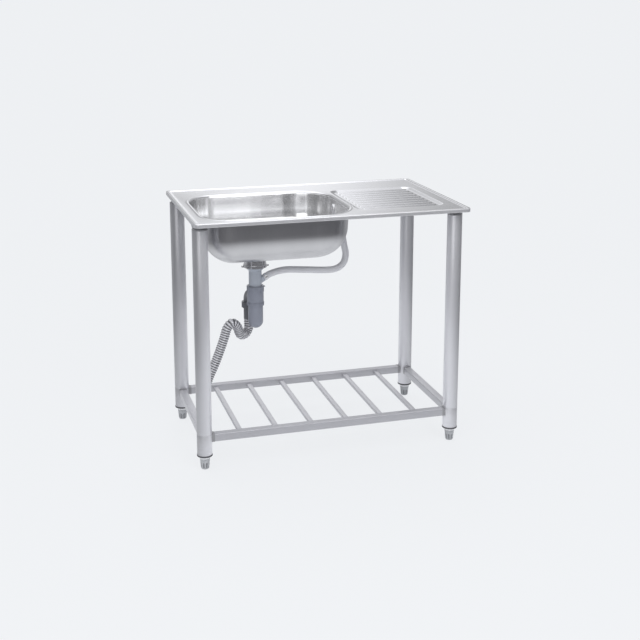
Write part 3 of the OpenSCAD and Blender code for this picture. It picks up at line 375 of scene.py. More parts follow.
# The ribbed hose's colour carries painted shade in its grooves.
RIBBED_PLASTIC = Finish("silver ribbed hose plastic, painted groove shade", "hose_plastic", (0.72, 0.72, 0.76), 0.88, 0.4,
                        (0.22, 0.30), (25.0, 25.0, 25.0), (1500.0, 1500.0, 1500.0), 0.00001, 0.2, 0.10)
CHROME = Finish("satin chrome plate", "chrome_parts", (0.80, 0.80, 0.82), 0.95, 0.9, (0.16, 0.26))
RUBBER = Finish("black rubber", "seal_rubber", (0.02, 0.02, 0.022), 0.8, 0.0, (0.55, 0.7))


def publish(name: str, mesh: bmesh.types.BMesh, finish: Finish, body: str,
            nodes: Iterable[str] = ()) -> bpy.types.Object:
    """Turns a bmesh into a finished piece of the object.

    Args:
        name: The piece's name.
        mesh: The finished bmesh, freed here.
        finish: The piece's finish.
        body: The CAD body that it rides on.
        nodes: The CAD nodes that it stands for.

    Returns:
        The new object.
    """
    for face in mesh.faces:
        face.smooth = True
    for edge in mesh.edges:
        if len(edge.link_faces) == 2 and edge.calc_face_angle(0.0) > SHARP:
            edge.smooth = False
    data = bpy.data.meshes.new(name)
    mesh.to_mesh(data)
    mesh.free()
    data.materials.append(finish.material())
    made = bpy.data.objects.new(name, data)
    bpy.context.scene.collection.objects.link(made)
    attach(made, body)
    if nodes:
        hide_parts(*nodes)
    LOG.info("%s rides on %s", name, body)
    return made


def two_tone(made: bpy.types.Object, finish: Finish,
             chosen: Callable[[bpy.types.MeshPolygon], bool]) -> None:
    """Gives the chosen faces of a piece a second finish.

    Args:
        made: The piece.
        finish: The second finish.
        chosen: Tells whether a face gets it.
    """
    made.data.materials.append(finish.material())
    for face in made.data.polygons:
        face.material_index = int(chosen(face))


def thicken(made: bpy.types.Object, wall: float, outer: Finish | None = None) -> None:
    """Gives a sheet its wall, away from its normals.

    Args:
        made: The sheet.
        wall: The wall's thickness.
        outer: The finish of the face that the wall adds, where it differs.
    """
    solid = made.modifiers.new("sheet", "SOLIDIFY")
    solid.thickness = wall
    solid.offset = -1.0
    solid.use_even_offset = True
    if outer:
        made.data.materials.append(outer.material())
        solid.material_offset = len(made.data.materials) - 1


def turned(profile: Sequence[Pair], centre: Sequence[float], steps: int = 96) -> bmesh.types.BMesh:
    """Spins a closed profile of (radius, height) round a vertical axis.

    Args:
        profile: The profile's points in order; it closes on itself.
        centre: The axis in plan.
        steps: Faces round the axis.

    Returns:
        The closed solid.
    """
    mesh = bmesh.new()
    ring = [mesh.verts.new((r, 0.0, z)) for r, z in profile]
    edges = [mesh.edges.new((a, b)) for a, b in zip(ring, ring[1:] + ring[:1])]
    bmesh.ops.spin(mesh, geom=ring + edges, cent=(0, 0, 0), axis=(0, 0, 1), angle=math.tau,
                   steps=steps, use_merge=True, use_duplicate=False)
    bmesh.ops.remove_doubles(mesh, verts=mesh.verts, dist=MERGE)
    bmesh.ops.recalc_face_normals(mesh, faces=mesh.faces)
    bmesh.ops.translate(mesh, verts=mesh.verts, vec=(centre[0], centre[1], 0.0))
    return mesh


def plan_loop(mesh: bmesh.types.BMesh, box: Sequence[float], radii: Sequence[float],
              inset: float, height: float, least: float) -> Loop:
    """Adds one closed loop: a rectangle in plan with bevelled, round corners.

    Args:
        mesh: The bmesh that gets the loop.
        box: Left, right, front and back.
        radii: Corner radii from front left, counter-clockwise from above.
        inset: How far the loop is drawn in.
        height: The loop's height.
        least: The smallest radius of a corner.

    Returns:
        The loop's edges.
    """
    left, right, front, rear = box[0] + inset, box[1] - inset, box[2] + inset, box[3] - inset
    corners = [mesh.verts.new((x, y, height))
               for x, y in ((left, front), (right, front), (right, rear), (left, rear))]
    mesh.faces.new(corners)
    for corner, radius in zip(corners, radii):
        bmesh.ops.bevel(mesh, geom=[corner], offset=max(radius - inset, least), segments=CORNER_STEPS,
                        profile=0.5, affect="VERTICES", material=-1)
    face = next(f for f in mesh.faces if all(len(edge.link_faces) == 1 for edge in f.edges))
    edges = list(face.edges)
    bmesh.ops.delete(mesh, geom=[face], context="FACES_ONLY")
    return edges


def skin(mesh: bmesh.types.BMesh, loops: Sequence[Loop]) -> None:
    """Bridges each loop to the next."""
    for first, second in zip(loops, loops[1:]):
        bmesh.ops.bridge_loops(mesh, edges=first + second)


def press(mesh: bmesh.types.BMesh, box: Sequence[float], radii: Sequence[float],
          steps: Sequence[Pair], least: float = 0.006) -> list[Loop]:
    """Presses a wall: a loop at each step, bridged to the next one.

    Args:
        mesh: The bmesh that gets the wall.
        box: Left, right, front and back.
        radii: Corner radii from front left, counter-clockwise from above.
        steps: The inset and the height of each loop.
        least: The smallest radius of a corner.

    Returns:
        The loops in order.
    """
    loops = [plan_loop(mesh, box, radii, inset, height, least) for inset, height in steps]
    skin(mesh, loops)
    return loops


def raised(profile_mm: Profile, height: float, start: float = 0.0) -> list[Pair]:
    """Returns a profile of (inset, rise) in millimetres as insets from a start and heights."""
    return [(start + inset * MM, height + rise * MM) for inset, rise in profile_mm]


def quarter_turns(count: int) -> list[float]:
    """Returns the angles of a quarter circle's points after its first."""
    return [QUARTER * (index + 1) / count for index in range(count)]


def bar(low: Sequence[float], high: Sequence[float], edge: float) -> bmesh.types.BMesh:
    """Makes a closed bar between two corners with rounded long edges.

    Args:
        low: The lowest corner.
        high: The highest corner.
        edge: The radius of its edges.

    Returns:
        The bar.
    """
    mesh = bmesh.new()
    bmesh.ops.create_cube(mesh, size=1.0)
    size = [b - a for a, b in zip(low, high)]
    middle = [(a + b) / 2 for a, b in zip(low, high)]
    bmesh.ops.scale(mesh, verts=mesh.verts, vec=size)
    bmesh.ops.translate(mesh, verts=mesh.verts, vec=middle)
    longest = size.index(max(size))
    sides = [e for e in mesh.edges if abs((e.verts[0].co - e.verts[1].co)[longest]) > size[longest] / 2]
    bmesh.ops.bevel(mesh, geom=sides, offset=edge, segments=5, profile=0.5, affect="EDGES", material=-1)
    return mesh


def smooth_route(points: Sequence[Sequence[float]], step: float, parts: int = 12) -> list[Vector]:
    """Runs a smooth line through a route's points.

    Args:
        points: The route, with one straight piece at each end.
        step: The distance between the points that come back.
        parts: The pieces that the curve between two points is measured in.

    Returns:
        Evenly spaced points along the line.
    """
    route = [Vector(p) for p in points]
    fine = [route[0]]
    for a, b, c, d in zip(route, route[1:], route[2:], route[3:]):
        for k in range(parts):
            t = k / parts
            fine.append(0.5 * (2 * b + (c - a) * t + (2 * a - 5 * b + 4 * c - d) * t * t
                               + (3 * b - a - 3 * c + d) * t * t * t))
    fine += [route[-2], route[-1]]
    runs = [0.0]
    for a, b in zip(fine, fine[1:]):
        runs.append(runs[-1] + (b - a).length)
    count = max(2, round(runs[-1] / step))
    spots, k = [], 0
    for i in range(count + 1):
        s = runs[-1] * i / count
        while k < len(runs) - 2 and runs[k + 1] < s:
            k += 1
        share = (s - runs[k]) / max(runs[k + 1] - runs[k], MERGE)
        spots.append(fine[k].lerp(fine[k + 1], min(share, 1.0)))
    return spots


def route_length(spots: Sequence[Vector]) -> float:
    """Returns the length of a line of points."""
    return sum((b - a).length for a, b in zip(spots, spots[1:]))


def swept(spots: Sequence[Vector], radii: Sequence[float], bore: float, sides: int,
          bore_step: int = 4) -> bmesh.types.BMesh:
    """Extrudes a ring along a line and back through its bore.

    Args:
        spots: The line's points.
        radii: The outer radius at each point.
        bore: The bore's radius.
        sides: Faces round the tube.
        bore_step: The bore has a ring at every so many points.

    Returns:
        The open-ended tube with its wall.
    """
    mesh = bmesh.new()
    # Depth in the corrugation, 1 in the troughs, sets the painted shade in the grooves.
    groove = mesh.verts.layers.float.new("groove")
    crest = max(radii)
    depth = max(crest - min(radii), MERGE)
    tangents = [(spots[min(i + 1, len(spots) - 1)] - spots[max(i - 1, 0)]).normalized()
                for i in range(len(spots))]
    across = tangents[0].orthogonal().normalized()
    turns = [math.tau * side / sides for side in range(sides)]
    frames = []
    for spot, along in zip(spots, tangents):
        across = (across - across.dot(along) * along).normalized()
        frames.append((spot, across, along.cross(across)))

    def ring_at(index: int, radius: float) -> list[Vector]:
        """Returns one ring's places."""
        spot, first, second = frames[index]
        return [spot + radius * (math.cos(a) * first + math.sin(a) * second) for a in turns]

    start = bmesh.ops.create_circle(mesh, cap_ends=False, segments=sides, radius=1.0)["verts"]
    for vert, place in zip(start, ring_at(0, bore)):
        vert.co = place
    edges = list({edge for vert in start for edge in vert.link_edges})
    slots = {vert: slot for slot, vert in enumerate(start)}
    outward = list(enumerate(radii))
    inward = [(index, bore) for index in range(len(spots) - 1, -1, -bore_step)]
    for index, radius in outward + inward + [(0, bore)]:
        grown = bmesh.ops.extrude_edge_only(mesh, edges=edges)["geom"]
        fresh = [item for item in grown if isinstance(item, bmesh.types.BMVert)]
        edges = [item for item in grown
                 if isinstance(item, bmesh.types.BMEdge) and all(vert in fresh for vert in item.verts)]
        places = ring_at(index, radius)
        follow = {}
        for vert in fresh:
            near = [edge.other_vert(vert) for edge in vert.link_edges]
            follow[vert] = next(slots[other] for other in near if other in slots)
            vert.co = places[follow[vert]]
            vert[groove] = min(1.0, (crest - radius) / depth)
        slots = follow
    bmesh.ops.remove_doubles(mesh, verts=mesh.verts, dist=MERGE)
    bmesh.ops.recalc_face_normals(mesh, faces=mesh.faces)
    return mesh


@dataclass(frozen=True)
class Lamp:
    """One soft lamp: where it hangs, the size of its face and its power in watts."""

    name: str
    place: Triple
    size: Pair
    power: float

    def hang(self, target: Vector) -> None:
        """Hangs the lamp, which the camera doesn't see.

        Args:
            target: The point that it looks at.
        """
        data = bpy.data.lights.new(self.name, "AREA")
        data.shape = "RECTANGLE"
        data.size, data.size_y = self.size
        data.energy = self.power
        made = bpy.data.objects.new(self.name, data)
        made.location = self.place
        made.rotation_euler = (target - Vector(self.place)).to_track_quat("-Z", "Y").to_euler()
        made.visible_camera = False
        bpy.context.scene.collection.objects.link(made)


@dataclass
class Studio:
    """The camera, the lamps, the room and the floor.

    An edge is the (start, end) of a soft step: in the room of one coordinate of a
    direction, on the floor of metres.
    """

    lens: float = 62.95
    sensor: float = 36.0
    shift_down: float = -0.15
    place: Triple = (-0.97989, -3.4635, 1.49871)
    pitch: float = 0.21412
    turn: float = 0.28254
    lamps: tuple[Lamp, ...] = (Lamp("key", (0.6, -2.6, 2.8), (1.8, 1.8), 26.0),
                               Lamp("fill", (-1.6, -2.6, 1.4), (2.0, 1.6), 14.0))
    target: Triple = (0.0, 0.0, 0.5)
    backdrop: Triple = (0.863, 0.879, 0.900)
    daylight: Triple = (0.97, 0.98, 1.0)
    base_level: float = 0.36
    rear_level: float = 0.08
    rear_edge: Pair = (-0.3, 0.7)
    band_level: float = 0.62
    band_edges: tuple[Pair, ...] = ((0.06, 0.24), (0.40, 0.25))
    high_level: float = 1.3
    high_edge: Pair = (0.40, 0.85)
    high_side_edge: Pair = (0.36, 0.22)
    left_loss: float = 0.2
    left_edge: Pair = (-0.25, -0.75)
    floor_half: float = 400.0
    floor_drop: float = 0.0005
    floor_glow: float = 0.90
    near_edge: Pair = (2.1, 0.5)
    rear_sheen: float = 0.45
    rear_sheen_edge: Pair = (0.0, 1.5)
    far_sheen: Triple = (0.10, 0.10, 0.11)

    def camera(self) -> None:
        """Places the camera at the photograph's viewing angle."""
        data = bpy.data.cameras.new("studio camera")
        data.lens = self.lens
        data.sensor_width = self.sensor
        data.shift_y = self.shift_down
        made = bpy.data.objects.new("studio camera", data)
        made.location = self.place
        made.rotation_euler = (QUARTER - self.pitch, 0.0, -self.turn)
        bpy.context.scene.collection.objects.link(made)
        bpy.context.scene.camera = made

    def room(self) -> None:
        """Lights the room softly, brighter overhead and in a band behind the object."""
        world = bpy.data.worlds.new("studio room")
        world.use_nodes = True
        bpy.context.scene.world = world
        bench = Bench(world.node_tree)
        across, along, up = (bench.axis(name, "Generated") for name in "XYZ")
        left_of, right_of = self.band_edges
        band = bench.ramp(across, *left_of) * bench.ramp(across, *right_of) * self.band_level
        high = bench.ramp(up, *self.high_edge) * bench.ramp(across, *self.high_side_edge) * self.high_level
        left = bench.ramp(across, *self.left_edge) * self.left_loss
        level = bench.ramp(along, *self.rear_edge) * (band + self.rear_level) + high - left + self.base_level
        seen = bench.node("ShaderNodeLightPath", out="Is Camera Ray")
        color = bench.blend(seen, self.daylight, self.backdrop)
        strength = level * (1 - seen) + seen
        light = bench.node("ShaderNodeBackground", {}, {"Color": color, "Strength": strength})
        bench.output(light, "ShaderNodeOutputWorld")

    def floor_paint(self) -> bpy.types.Material:
        """Mixes the floor's paint: pale to the camera, dimmer far off in reflections.

        Returns:
            The material.
        """
        paint = bpy.data.materials.new("pale studio floor")
        paint.use_nodes = True
        bench = Bench(paint.node_tree)
        color = (*self.backdrop, 1.0)
        matt = bench.node("ShaderNodeBsdfDiffuse", {}, {"Color": color})
        glow = bench.node("ShaderNodeEmission", {}, {"Color": color, "Strength": 1.0})
        place = bench.node("ShaderNodeTexCoord", out="Object")
        reach = bench.node("ShaderNodeVectorMath", {"operation": "LENGTH"}, {0: place}, out="Value")
        near = bench.ramp(reach, *self.near_edge)
        rear = bench.ramp(bench.axis("Y"), *self.rear_sheen_edge) * self.rear_sheen
        mirrored = bench.blend(near + rear - near * rear, self.far_sheen, self.backdrop)
        sheen = bench.node("ShaderNodeEmission", {}, {"Color": mirrored, "Strength": 1.0})
        camera = bench.node("ShaderNodeLightPath", out="Is Camera Ray")
        glossy = bench.node("ShaderNodeLightPath", out="Is Glossy Ray")
        seen = bench.node("ShaderNodeMixShader", {}, {0: camera * self.floor_glow, 1: matt, 2: glow})
        bench.output(bench.node("ShaderNodeMixShader", {}, {0: glossy, 1: seen, 2: sheen}))
        return paint

    def floor(self) -> None:
        """Lays the pale floor, which keeps a faint shadow."""
        mesh = bmesh.new()
        bmesh.ops.create_grid(mesh, x_segments=1, y_segments=1, size=self.floor_half)
        data = bpy.data.meshes.new("studio floor")
        mesh.to_mesh(data)
        mesh.free()
        data.materials.append(self.floor_paint())
        made = bpy.data.objects.new("studio floor", data)
        made.location = (0.0, 0.0, -self.floor_drop)
        bpy.context.scene.collection.objects.link(made)

    def build(self) -> None:
        """Builds the whole studio, the camera first."""
        self.camera()
        for lamp in self.lamps:
            lamp.hang(Vector(self.target))
        self.room()
        self.floor()
        bpy.context.scene.view_settings.view_transform = "Standard"


def quarters(edges: Loop) -> list[Spots]:
    """Sorts a loop's vertices into its four corners.

    Args:
        edges: The loop's edges.

    Returns:
        The corners' vertices in turn, front left first, seen from above.
    """
    spots = list({vert for edge in edges for vert in edge.verts})
    centre = sum((vert.co for vert in spots), Vector()) / len(spots)
    spots.sort(key=lambda vert: math.atan2(vert.co.y - centre.y, vert.co.x - centre.x))
    share = len(spots) // 4
    return [spots[index * share:(index + 1) * share] for index in range(4)]


def back(spots: Spots) -> Spots:
    """Returns a corner's vertices in the other direction."""
    return spots[::-1]


def facing_up(mesh: bmesh.types.BMesh) -> None:
    """Turns a sheet's faces so that its largest flat face looks up.

    Args:
        mesh: The sheet.
    """
    bmesh.ops.recalc_face_normals(mesh, faces=mesh.faces)
    flat = max(mesh.faces, key=lambda face: face.calc_area() * abs(face.normal.z))
    if flat.normal.z < 0:
        bmesh.ops.reverse_faces(mesh, faces=mesh.faces)


def rounded_copy(node: str, finish: Finish, body: str, edge: float = 0.0004) -> bpy.types.Object:
    """Makes a smooth piece with softened edges from a CAD node's own shape.

    Args:
        node: The CAD node that it stands for.
        finish: The piece's finish.
        body: The CAD body that it rides on.
        edge: The width of the softened edges.

    Returns:
        The new object.
    """
    mesh = bmesh.new()
    mesh.from_mesh(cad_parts[node].data)
    bmesh.ops.remove_doubles(mesh, verts=mesh.verts, dist=MERGE)
    bmesh.ops.dissolve_limit(mesh, angle_limit=math.radians(1.0), verts=mesh.verts, edges=mesh.edges)
    made = publish(node + ".piece", mesh, finish, body, [node])
    soften = made.modifiers.new("softened edges", "BEVEL")
    soften.width = edge
    soften.segments = 2
    soften.limit_method = "ANGLE"
    soften.angle_limit = SHARP
    soften.harden_normals = False
    return made


@dataclass
class SinkTop:
    """The pressed top with its rim, drainer and bowl.

    A profile that ends in mm has (inset, rise) pairs in millimetres.
    """

    wall: float = 0.001
    rim_r: float = 0.014
    deck_drop: float = 0.003
    hem_mm: Profile = ((7.0, 0.02), (1.2, 0.0), (0.4, 0.3), (0.0, 1.2))
    crown_mm: Profile = ((0.0, -3.4), (0.25, -2.1), (0.9, -1.0), (1.9, -0.3), (3.2, -0.02), (7.6, 0.0),
                         (9.2, -0.2), (10.8, -0.8), (12.4, -1.7), (14.0, -2.5), (15.4, -2.9))
    rim_toe_mm: Profile = ((16.8, 0.02), (18.5, 0.0))
    rim_shine_w: float = 0.0045
    bowl_edges: tuple[float, float, float, float] = (-0.395, 0.078, -0.245, 0.160)
    bowl_radii: tuple[float, float, float, float] = (0.100, 0.118, 0.118, 0.100)
    bowl_depth: float = 0.153
    floor_r: float = 0.096
    floor_steps: int = 16
    floor_flat: float = 0.003
    draft: float = 0.003
    lip_r: float = 0.005
    lip_steps: int = 5
    lip_end: Pair = (0.0003, 0.002)
    bead_mm: Profile = ((-13.4, 0.0), (-12.8, 0.06), (-12.0, 0.3), (-10.8, 0.8), (-9.4, 1.15), (-7.9, 1.2),
                        (-6.4, 0.9), (-5.0, 0.0))
    drain_edges: tuple[float, float, float, float] = (0.094, 0.390, -0.199, 0.143)
    drain_r: float = 0.034
    drain_depth: float = 0.005
    drain_slope: float = 0.014
    drain_edge_mm: Profile = ((-1.2, 0.0), (-0.5, -0.02), (0.6, -0.12), (2.2, -0.6))
    drain_toe_mm: Profile = ((-2.6, 0.75), (-0.9, 0.2), (0.6, 0.02), (2.0, 0.0))
    ridges: int = 9
    ridge_w: float = 0.014
    ridge_end: float = 0.008
    ridge_round_share: float = 0.98
    ridge_least_r: float = 0.0004
    ridge_mm: Profile = ((-3.0, 0.0), (-1.8, 0.02), (-0.6, 0.1), (0.7, 0.5), (2.0, 1.4), (3.4, 2.3),
                         (4.9, 2.85), (6.2, 3.0))
    flank_gain: float = 7.0
    waste: Pair = (-0.200, -0.020)
    waste_r: float = 0.0363
    waste_drop: float = 0.0003
    dish: Profile = ((0.052, 0.0), (0.050, 0.0001))

    def __post_init__(self) -> None:
        """Reads the top's outline from the frame."""
        low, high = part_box("sink_deck")
        self.outline = (low[0], high[0], low[1], high[1])
        self.top = high[2]
        self.skirt = low[2]
        self.deck = self.top - self.deck_drop

    def rim(self, mesh: bmesh.types.BMesh) -> Loop:
        """Presses the hem, the skirt and the raised rim.

        Args:
            mesh: The top's bmesh.

        Returns:
            The innermost loop, flat on the deck.
        """
        steps = raised(self.hem_mm, self.skirt) + raised(self.crown_mm, self.top)
        steps += raised(self.rim_toe_mm, self.deck)
        return press(mesh, self.outline, (self.rim_r,) * 4, steps)[-1]

    def lip(self, mesh: bmesh.types.BMesh) -> Loop:
        """Rolls the bowl's edge down, with the low bead that runs round it.

        Args:
            mesh: The top's bmesh.

        Returns:
            The outermost loop, flat on the deck.
        """
        steps = raised(self.bead_mm, self.deck)
        for turn in quarter_turns(self.lip_steps):
            run, drop = self.lip_r * (1 - math.sin(turn)), self.lip_r * (1 - math.cos(turn))
            steps.append((-run, self.deck - drop))
        return press(mesh, self.bowl_edges, self.bowl_radii, steps)[0]

    def ridge(self, mesh: bmesh.types.BMesh, y: float, z: float) -> Loop:
        """Presses one lengthwise ridge.

        Args:
            mesh: The top's bmesh.
            y: The ridge's centre line.
            z: The height of the field.

        Returns:
            The ridge's outermost loop, flat on the field.
        """
        half = self.ridge_w / 2
        end = self.drain_slope + self.ridge_end
        box = (self.drain_edges[0] + end, self.drain_edges[1] - end, y - half, y + half)
        radii = (half * self.ridge_round_share,) * 4
        loops = press(mesh, box, radii, raised(self.ridge_mm, z), self.ridge_least_r)
        bmesh.ops.contextual_create(mesh, geom=loops[-1])
        return loops[0]

    def drainer(self, mesh: bmesh.types.BMesh) -> Loop:
        """Sinks the ribbed field.

        Args:
            mesh: The top's bmesh.

        Returns:
            The field's outermost loop, flat on the deck.
        """
        floor = self.deck - self.drain_depth
        steps = raised(self.drain_edge_mm, self.deck) + raised(self.drain_toe_mm, floor, self.drain_slope)
        loops = press(mesh, self.drain_edges, (self.drain_r,) * 4, steps)
        front = self.drain_edges[2] + self.drain_slope + self.wall
        rear = self.drain_edges[3] - self.drain_slope - self.wall
        rows = []
        for index in range(self.ridges):
            y = front + (rear - front) * (index + 0.5) / self.ridges
            rows.append(quarters(self.ridge(mesh, y, floor)))
        self.fill_field(mesh, quarters(loops[-1]), rows)
        return loops[0]

    def fill_field(self, mesh: bmesh.types.BMesh, edge: list[Spots], rows: list[list[Spots]]) -> None:
        """Fills the drainer's field round its ridges.

        Args:
            mesh: The top's bmesh.
            edge: The corners of the field's edge.
            rows: The corners of each ridge, from the front.
        """
        front_left, front_right, back_right, back_left = edge
        first, last = rows[0], rows[-1]
        mesh.faces.new(front_left + front_right + back(first[1]) + back(first[0]))
        mesh.faces.new(back_right + back_left + back(last[3]) + back(last[2]))
        left = [vert for row in rows for vert in (row[0][0], row[3][-1])]
        right = [vert for row in rows[::-1] for vert in (row[2][0], row[1][-1])]
        mesh.faces.new([back_left[-1], front_left[0]] + left)
        mesh.faces.new([front_right[-1], back_right[0]] + right)
        for below, above in zip(rows, rows[1:]):
            mesh.faces.new([below[3][0], below[2][-1], above[1][0], above[0][-1]])
            mesh.faces.new(back(below[3]) + back(above[0]))
            mesh.faces.new(back(below[2]) + back(above[1]))

    def fill_deck(self, mesh: bmesh.types.BMesh, rim: list[Spots], bowl: list[Spots],
                  drain: list[Spots]) -> None:
        """Fills the flat deck between the rim, the bowl and the drainer.

        Args:
            mesh: The top's bmesh.
            rim: The corners of the rim's inner loop.
            bowl: The corners of the bowl's outer loop.
            drain: The corners of the drainer's outer loop.
        """
        near = (bowl[0], drain[1], drain[2], bowl[3])
        for outer, inner in zip(rim, near):
            mesh.faces.new(outer + back(inner))
        mesh.faces.new([rim[3][-1], rim[0][0], bowl[0][0], bowl[3][-1]])
        mesh.faces.new([rim[1][-1], rim[2][0], drain[2][0], drain[1][-1]])
        mesh.faces.new([rim[0][-1], rim[1][0], drain[1][0]] + back(drain[0]) + back(bowl[1]) + [bowl[0][-1]])
        mesh.faces.new([rim[2][-1], rim[3][0], bowl[3][0]] + back(bowl[2]) + back(drain[3]) + [drain[2][-1]])
        mesh.faces.new([bowl[1][-1], drain[0][0], drain[3][-1], bowl[2][0]])

    def mark_flanks(self, mesh: bmesh.types.BMesh) -> None:
        """Notes how steep the drainer is at each vertex, for the shade painted on its slopes.

        Args:
            mesh: The top's bmesh.
        """
        mesh.normal_update()
        groove = mesh.verts.layers.float.new("groove")
        for vert in mesh.verts:
            if vert.co.x > self.drain_edges[0] and vert.co.z < self.deck:
                # Painted shade: the steeper, the darker.
                vert[groove] = min(1.0, (1.0 - vert.normal.z) * self.flank_gain)

    def on_rim(self, face: bpy.types.MeshPolygon) -> bool:
        """Tells whether a face lies on the skirt or on the rim's outer edge."""
        past = max(abs(face.center.x) - self.outline[1], abs(face.center.y) - self.outline[3])
        return past > -self.rim_shine_w

    def press_deck(self) -> None:
        """Presses the whole top in one sheet."""
        mesh = bmesh.new()
        rim = quarters(self.rim(mesh))
        bowl = quarters(self.lip(mesh))
        drain = quarters(self.drainer(mesh))
        self.fill_deck(mesh, rim, bowl, drain)
        facing_up(mesh)
        self.mark_flanks(mesh)
        made = publish("pressed_top", mesh, DECK_STEEL, Body.FRAME.value, ["sink_deck"])
        two_tone(made, RIM_STEEL, self.on_rim)
        thicken(made, self.wall)

    def waste_rings(self, mesh: bmesh.types.BMesh, floor: float) -> Loop:
        """Presses the shallow dish round the waste hole.

        Args:
            mesh: The bowl's bmesh.
            floor: The height of the bowl's floor.

        Returns:
            The dish's outer loop.
        """
        rings = []
        segments = 4 * (CORNER_STEPS + 1)
        half_step = Matrix.Rotation(math.pi / segments, 3, "Z")
        for radius, drop in (*self.dish, (self.waste_r, self.waste_drop)):
            ring = bmesh.ops.create_circle(mesh, cap_ends=False, segments=segments, radius=radius)["verts"]
            bmesh.ops.rotate(mesh, verts=ring, matrix=half_step)
            bmesh.ops.translate(mesh, verts=ring, vec=(*self.waste, floor - drop))
            rings.append(list({edge for vert in ring for edge in vert.link_edges}))
        skin(mesh, rings)
        return rings[0]

    def draw_bowl(self) -> None:
        """Draws the deep bowl with its round floor edge and waste hole."""
        mesh = bmesh.new()
        top = self.deck - self.lip_r
        floor = self.deck - self.bowl_depth
        bend = floor + self.floor_r
        steps = [(0.0, top), (self.lip_end[0], top - self.lip_end[1]), (self.draft / 2, (top + bend) / 2),
                 (self.draft, bend)]
        for turn in quarter_turns(self.floor_steps):
            run, drop = self.floor_r * (1 - math.cos(turn)), self.floor_r * math.sin(turn)
            steps.append((self.draft + run, bend - drop))
        steps.append((self.draft + self.floor_r + self.floor_flat, floor))
        loops = press(mesh, self.bowl_edges, self.bowl_radii, steps)
        outer, inner = quarters(loops[-1]), quarters(self.waste_rings(mesh, floor))
        for index in range(4):
            mesh.faces.new(outer[index] + back(inner[index]))
            after = (index + 1) % 4
            mesh.faces.new([outer[index][-1], outer[after][0], inner[after][0], inner[index][-1]])
        facing_up(mesh)
        made = publish("drawn_bowl", mesh, BOWL_STEEL, Body.FRAME.value, ["sink_bowl"])
        # The outer face's darker colour is painted shade.
        thicken(made, self.wall, SHADED_SHELL_STEEL)

    def build(self) -> None:
        """Builds the top and its bowl."""
        self.press_deck()
        self.draw_bowl()


@dataclass
class Foot:
    """One bullet foot with its screw and the dents of its grip."""

    node: str
    axis: Vector
    tip_r: float = 0.0125
    screw_r: float = 0.005
    axle_r: float = 0.0005
    core_r: float = 0.009
    soft: float = 0.001
    gap: float = 0.0003
    dent_ends: Pair = (0.004, 0.022)
    dents: int = 8
    faces_per_dent: int = 6
    pressed_faces: int = 4
    dent_depth: float = 0.0016
    dent_flank: float = 0.0007
    shade_share: float = 0.6
    slack: float = 0.0001

    def __post_init__(self) -> None:
        """Reads the foot's width and its two ends from the frame."""
        low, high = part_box(self.node)
        self.wide = (high[0] - low[0]) / 2
        self.tall = high[2]
        self.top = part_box(self.node.replace("foot", "insert"))[0][2] - self.gap

    def cone(self, z: float) -> float:
        """Returns the radius of the foot's cone at a height."""
        return self.tip_r + (self.wide - self.tip_r) * z / self.top

    def profile(self) -> list[Pair]:
        """Draws the foot and its screw from the floor up.

        Returns:
            The closed profile of (radius, height).
        """
        tip, wide, screw, soft, top = self.tip_r, self.wide, self.screw_r, self.soft, self.top
        return [(self.axle_r, 0.0), (tip - 3 * soft, 0.0), (tip - soft, soft), (tip, 3 * soft),
                *[(self.cone(z), z) for z in self.dent_ends],
                (wide - 0.3 * soft, top - 3 * soft), (wide, top - 2 * soft), (wide, top - 0.3 * soft),
                (wide - 0.3 * soft, top), (screw, top), (screw, self.tall - 2 * soft),
                (screw - 2 * soft, self.tall), (self.axle_r, self.tall)]

    def is_grip(self, face: bmesh.types.BMFace) -> bool:
        """Tells whether a face lies on the cone between the dents' ends.

        Args:
            face: A face of the foot before it is moved to its leg.

        Returns:
            True for the faces that a dent may be pressed into.
        """
        low, high = self.dent_ends
        heights = [vert.co.z for vert in face.verts]
        between = min(heights) > low - self.slack and max(heights) < high + self.slack
        return between and face.calc_center_median().to_2d().length > self.core_r

    def is_dent(self, face: bpy.types.MeshPolygon) -> bool:
        """Tells whether a face lies inside a dent.

        Args:
            face: A face of the finished foot.

        Returns:
            True for steep faces that lie deeper than the cone.
        """
        reach = (face.center.to_2d() - self.axis).length
        deep = self.cone(face.center.z) - self.dent_depth * self.shade_share
        return abs(face.normal.z) < 0.5 and self.core_r < reach < deep

    def build(self) -> None:
        """Turns the foot and presses its dents."""
        mesh = turned(self.profile(), (0.0, 0.0), self.dents * self.faces_per_dent)
        grip = [face for face in mesh.faces if self.is_grip(face)]
        grip.sort(key=lambda face: math.atan2(face.calc_center_median().y, face.calc_center_median().x))
        pressed = [face for index, face in enumerate(grip)
                   if index % self.faces_per_dent < self.pressed_faces]
        bmesh.ops.inset_region(mesh, faces=pressed, thickness=self.dent_flank, depth=-self.dent_depth,
                               use_even_offset=True, use_boundary=True)
        bmesh.ops.translate(mesh, verts=mesh.verts, vec=(*self.axis, 0.0))
        made = publish(self.node + ".piece", mesh, FOOT_PLASTIC, self.node, [self.node])
        # The dents' darker colour is painted shade.
        two_tone(made, SHADED_DENT_PLASTIC, self.is_dent)


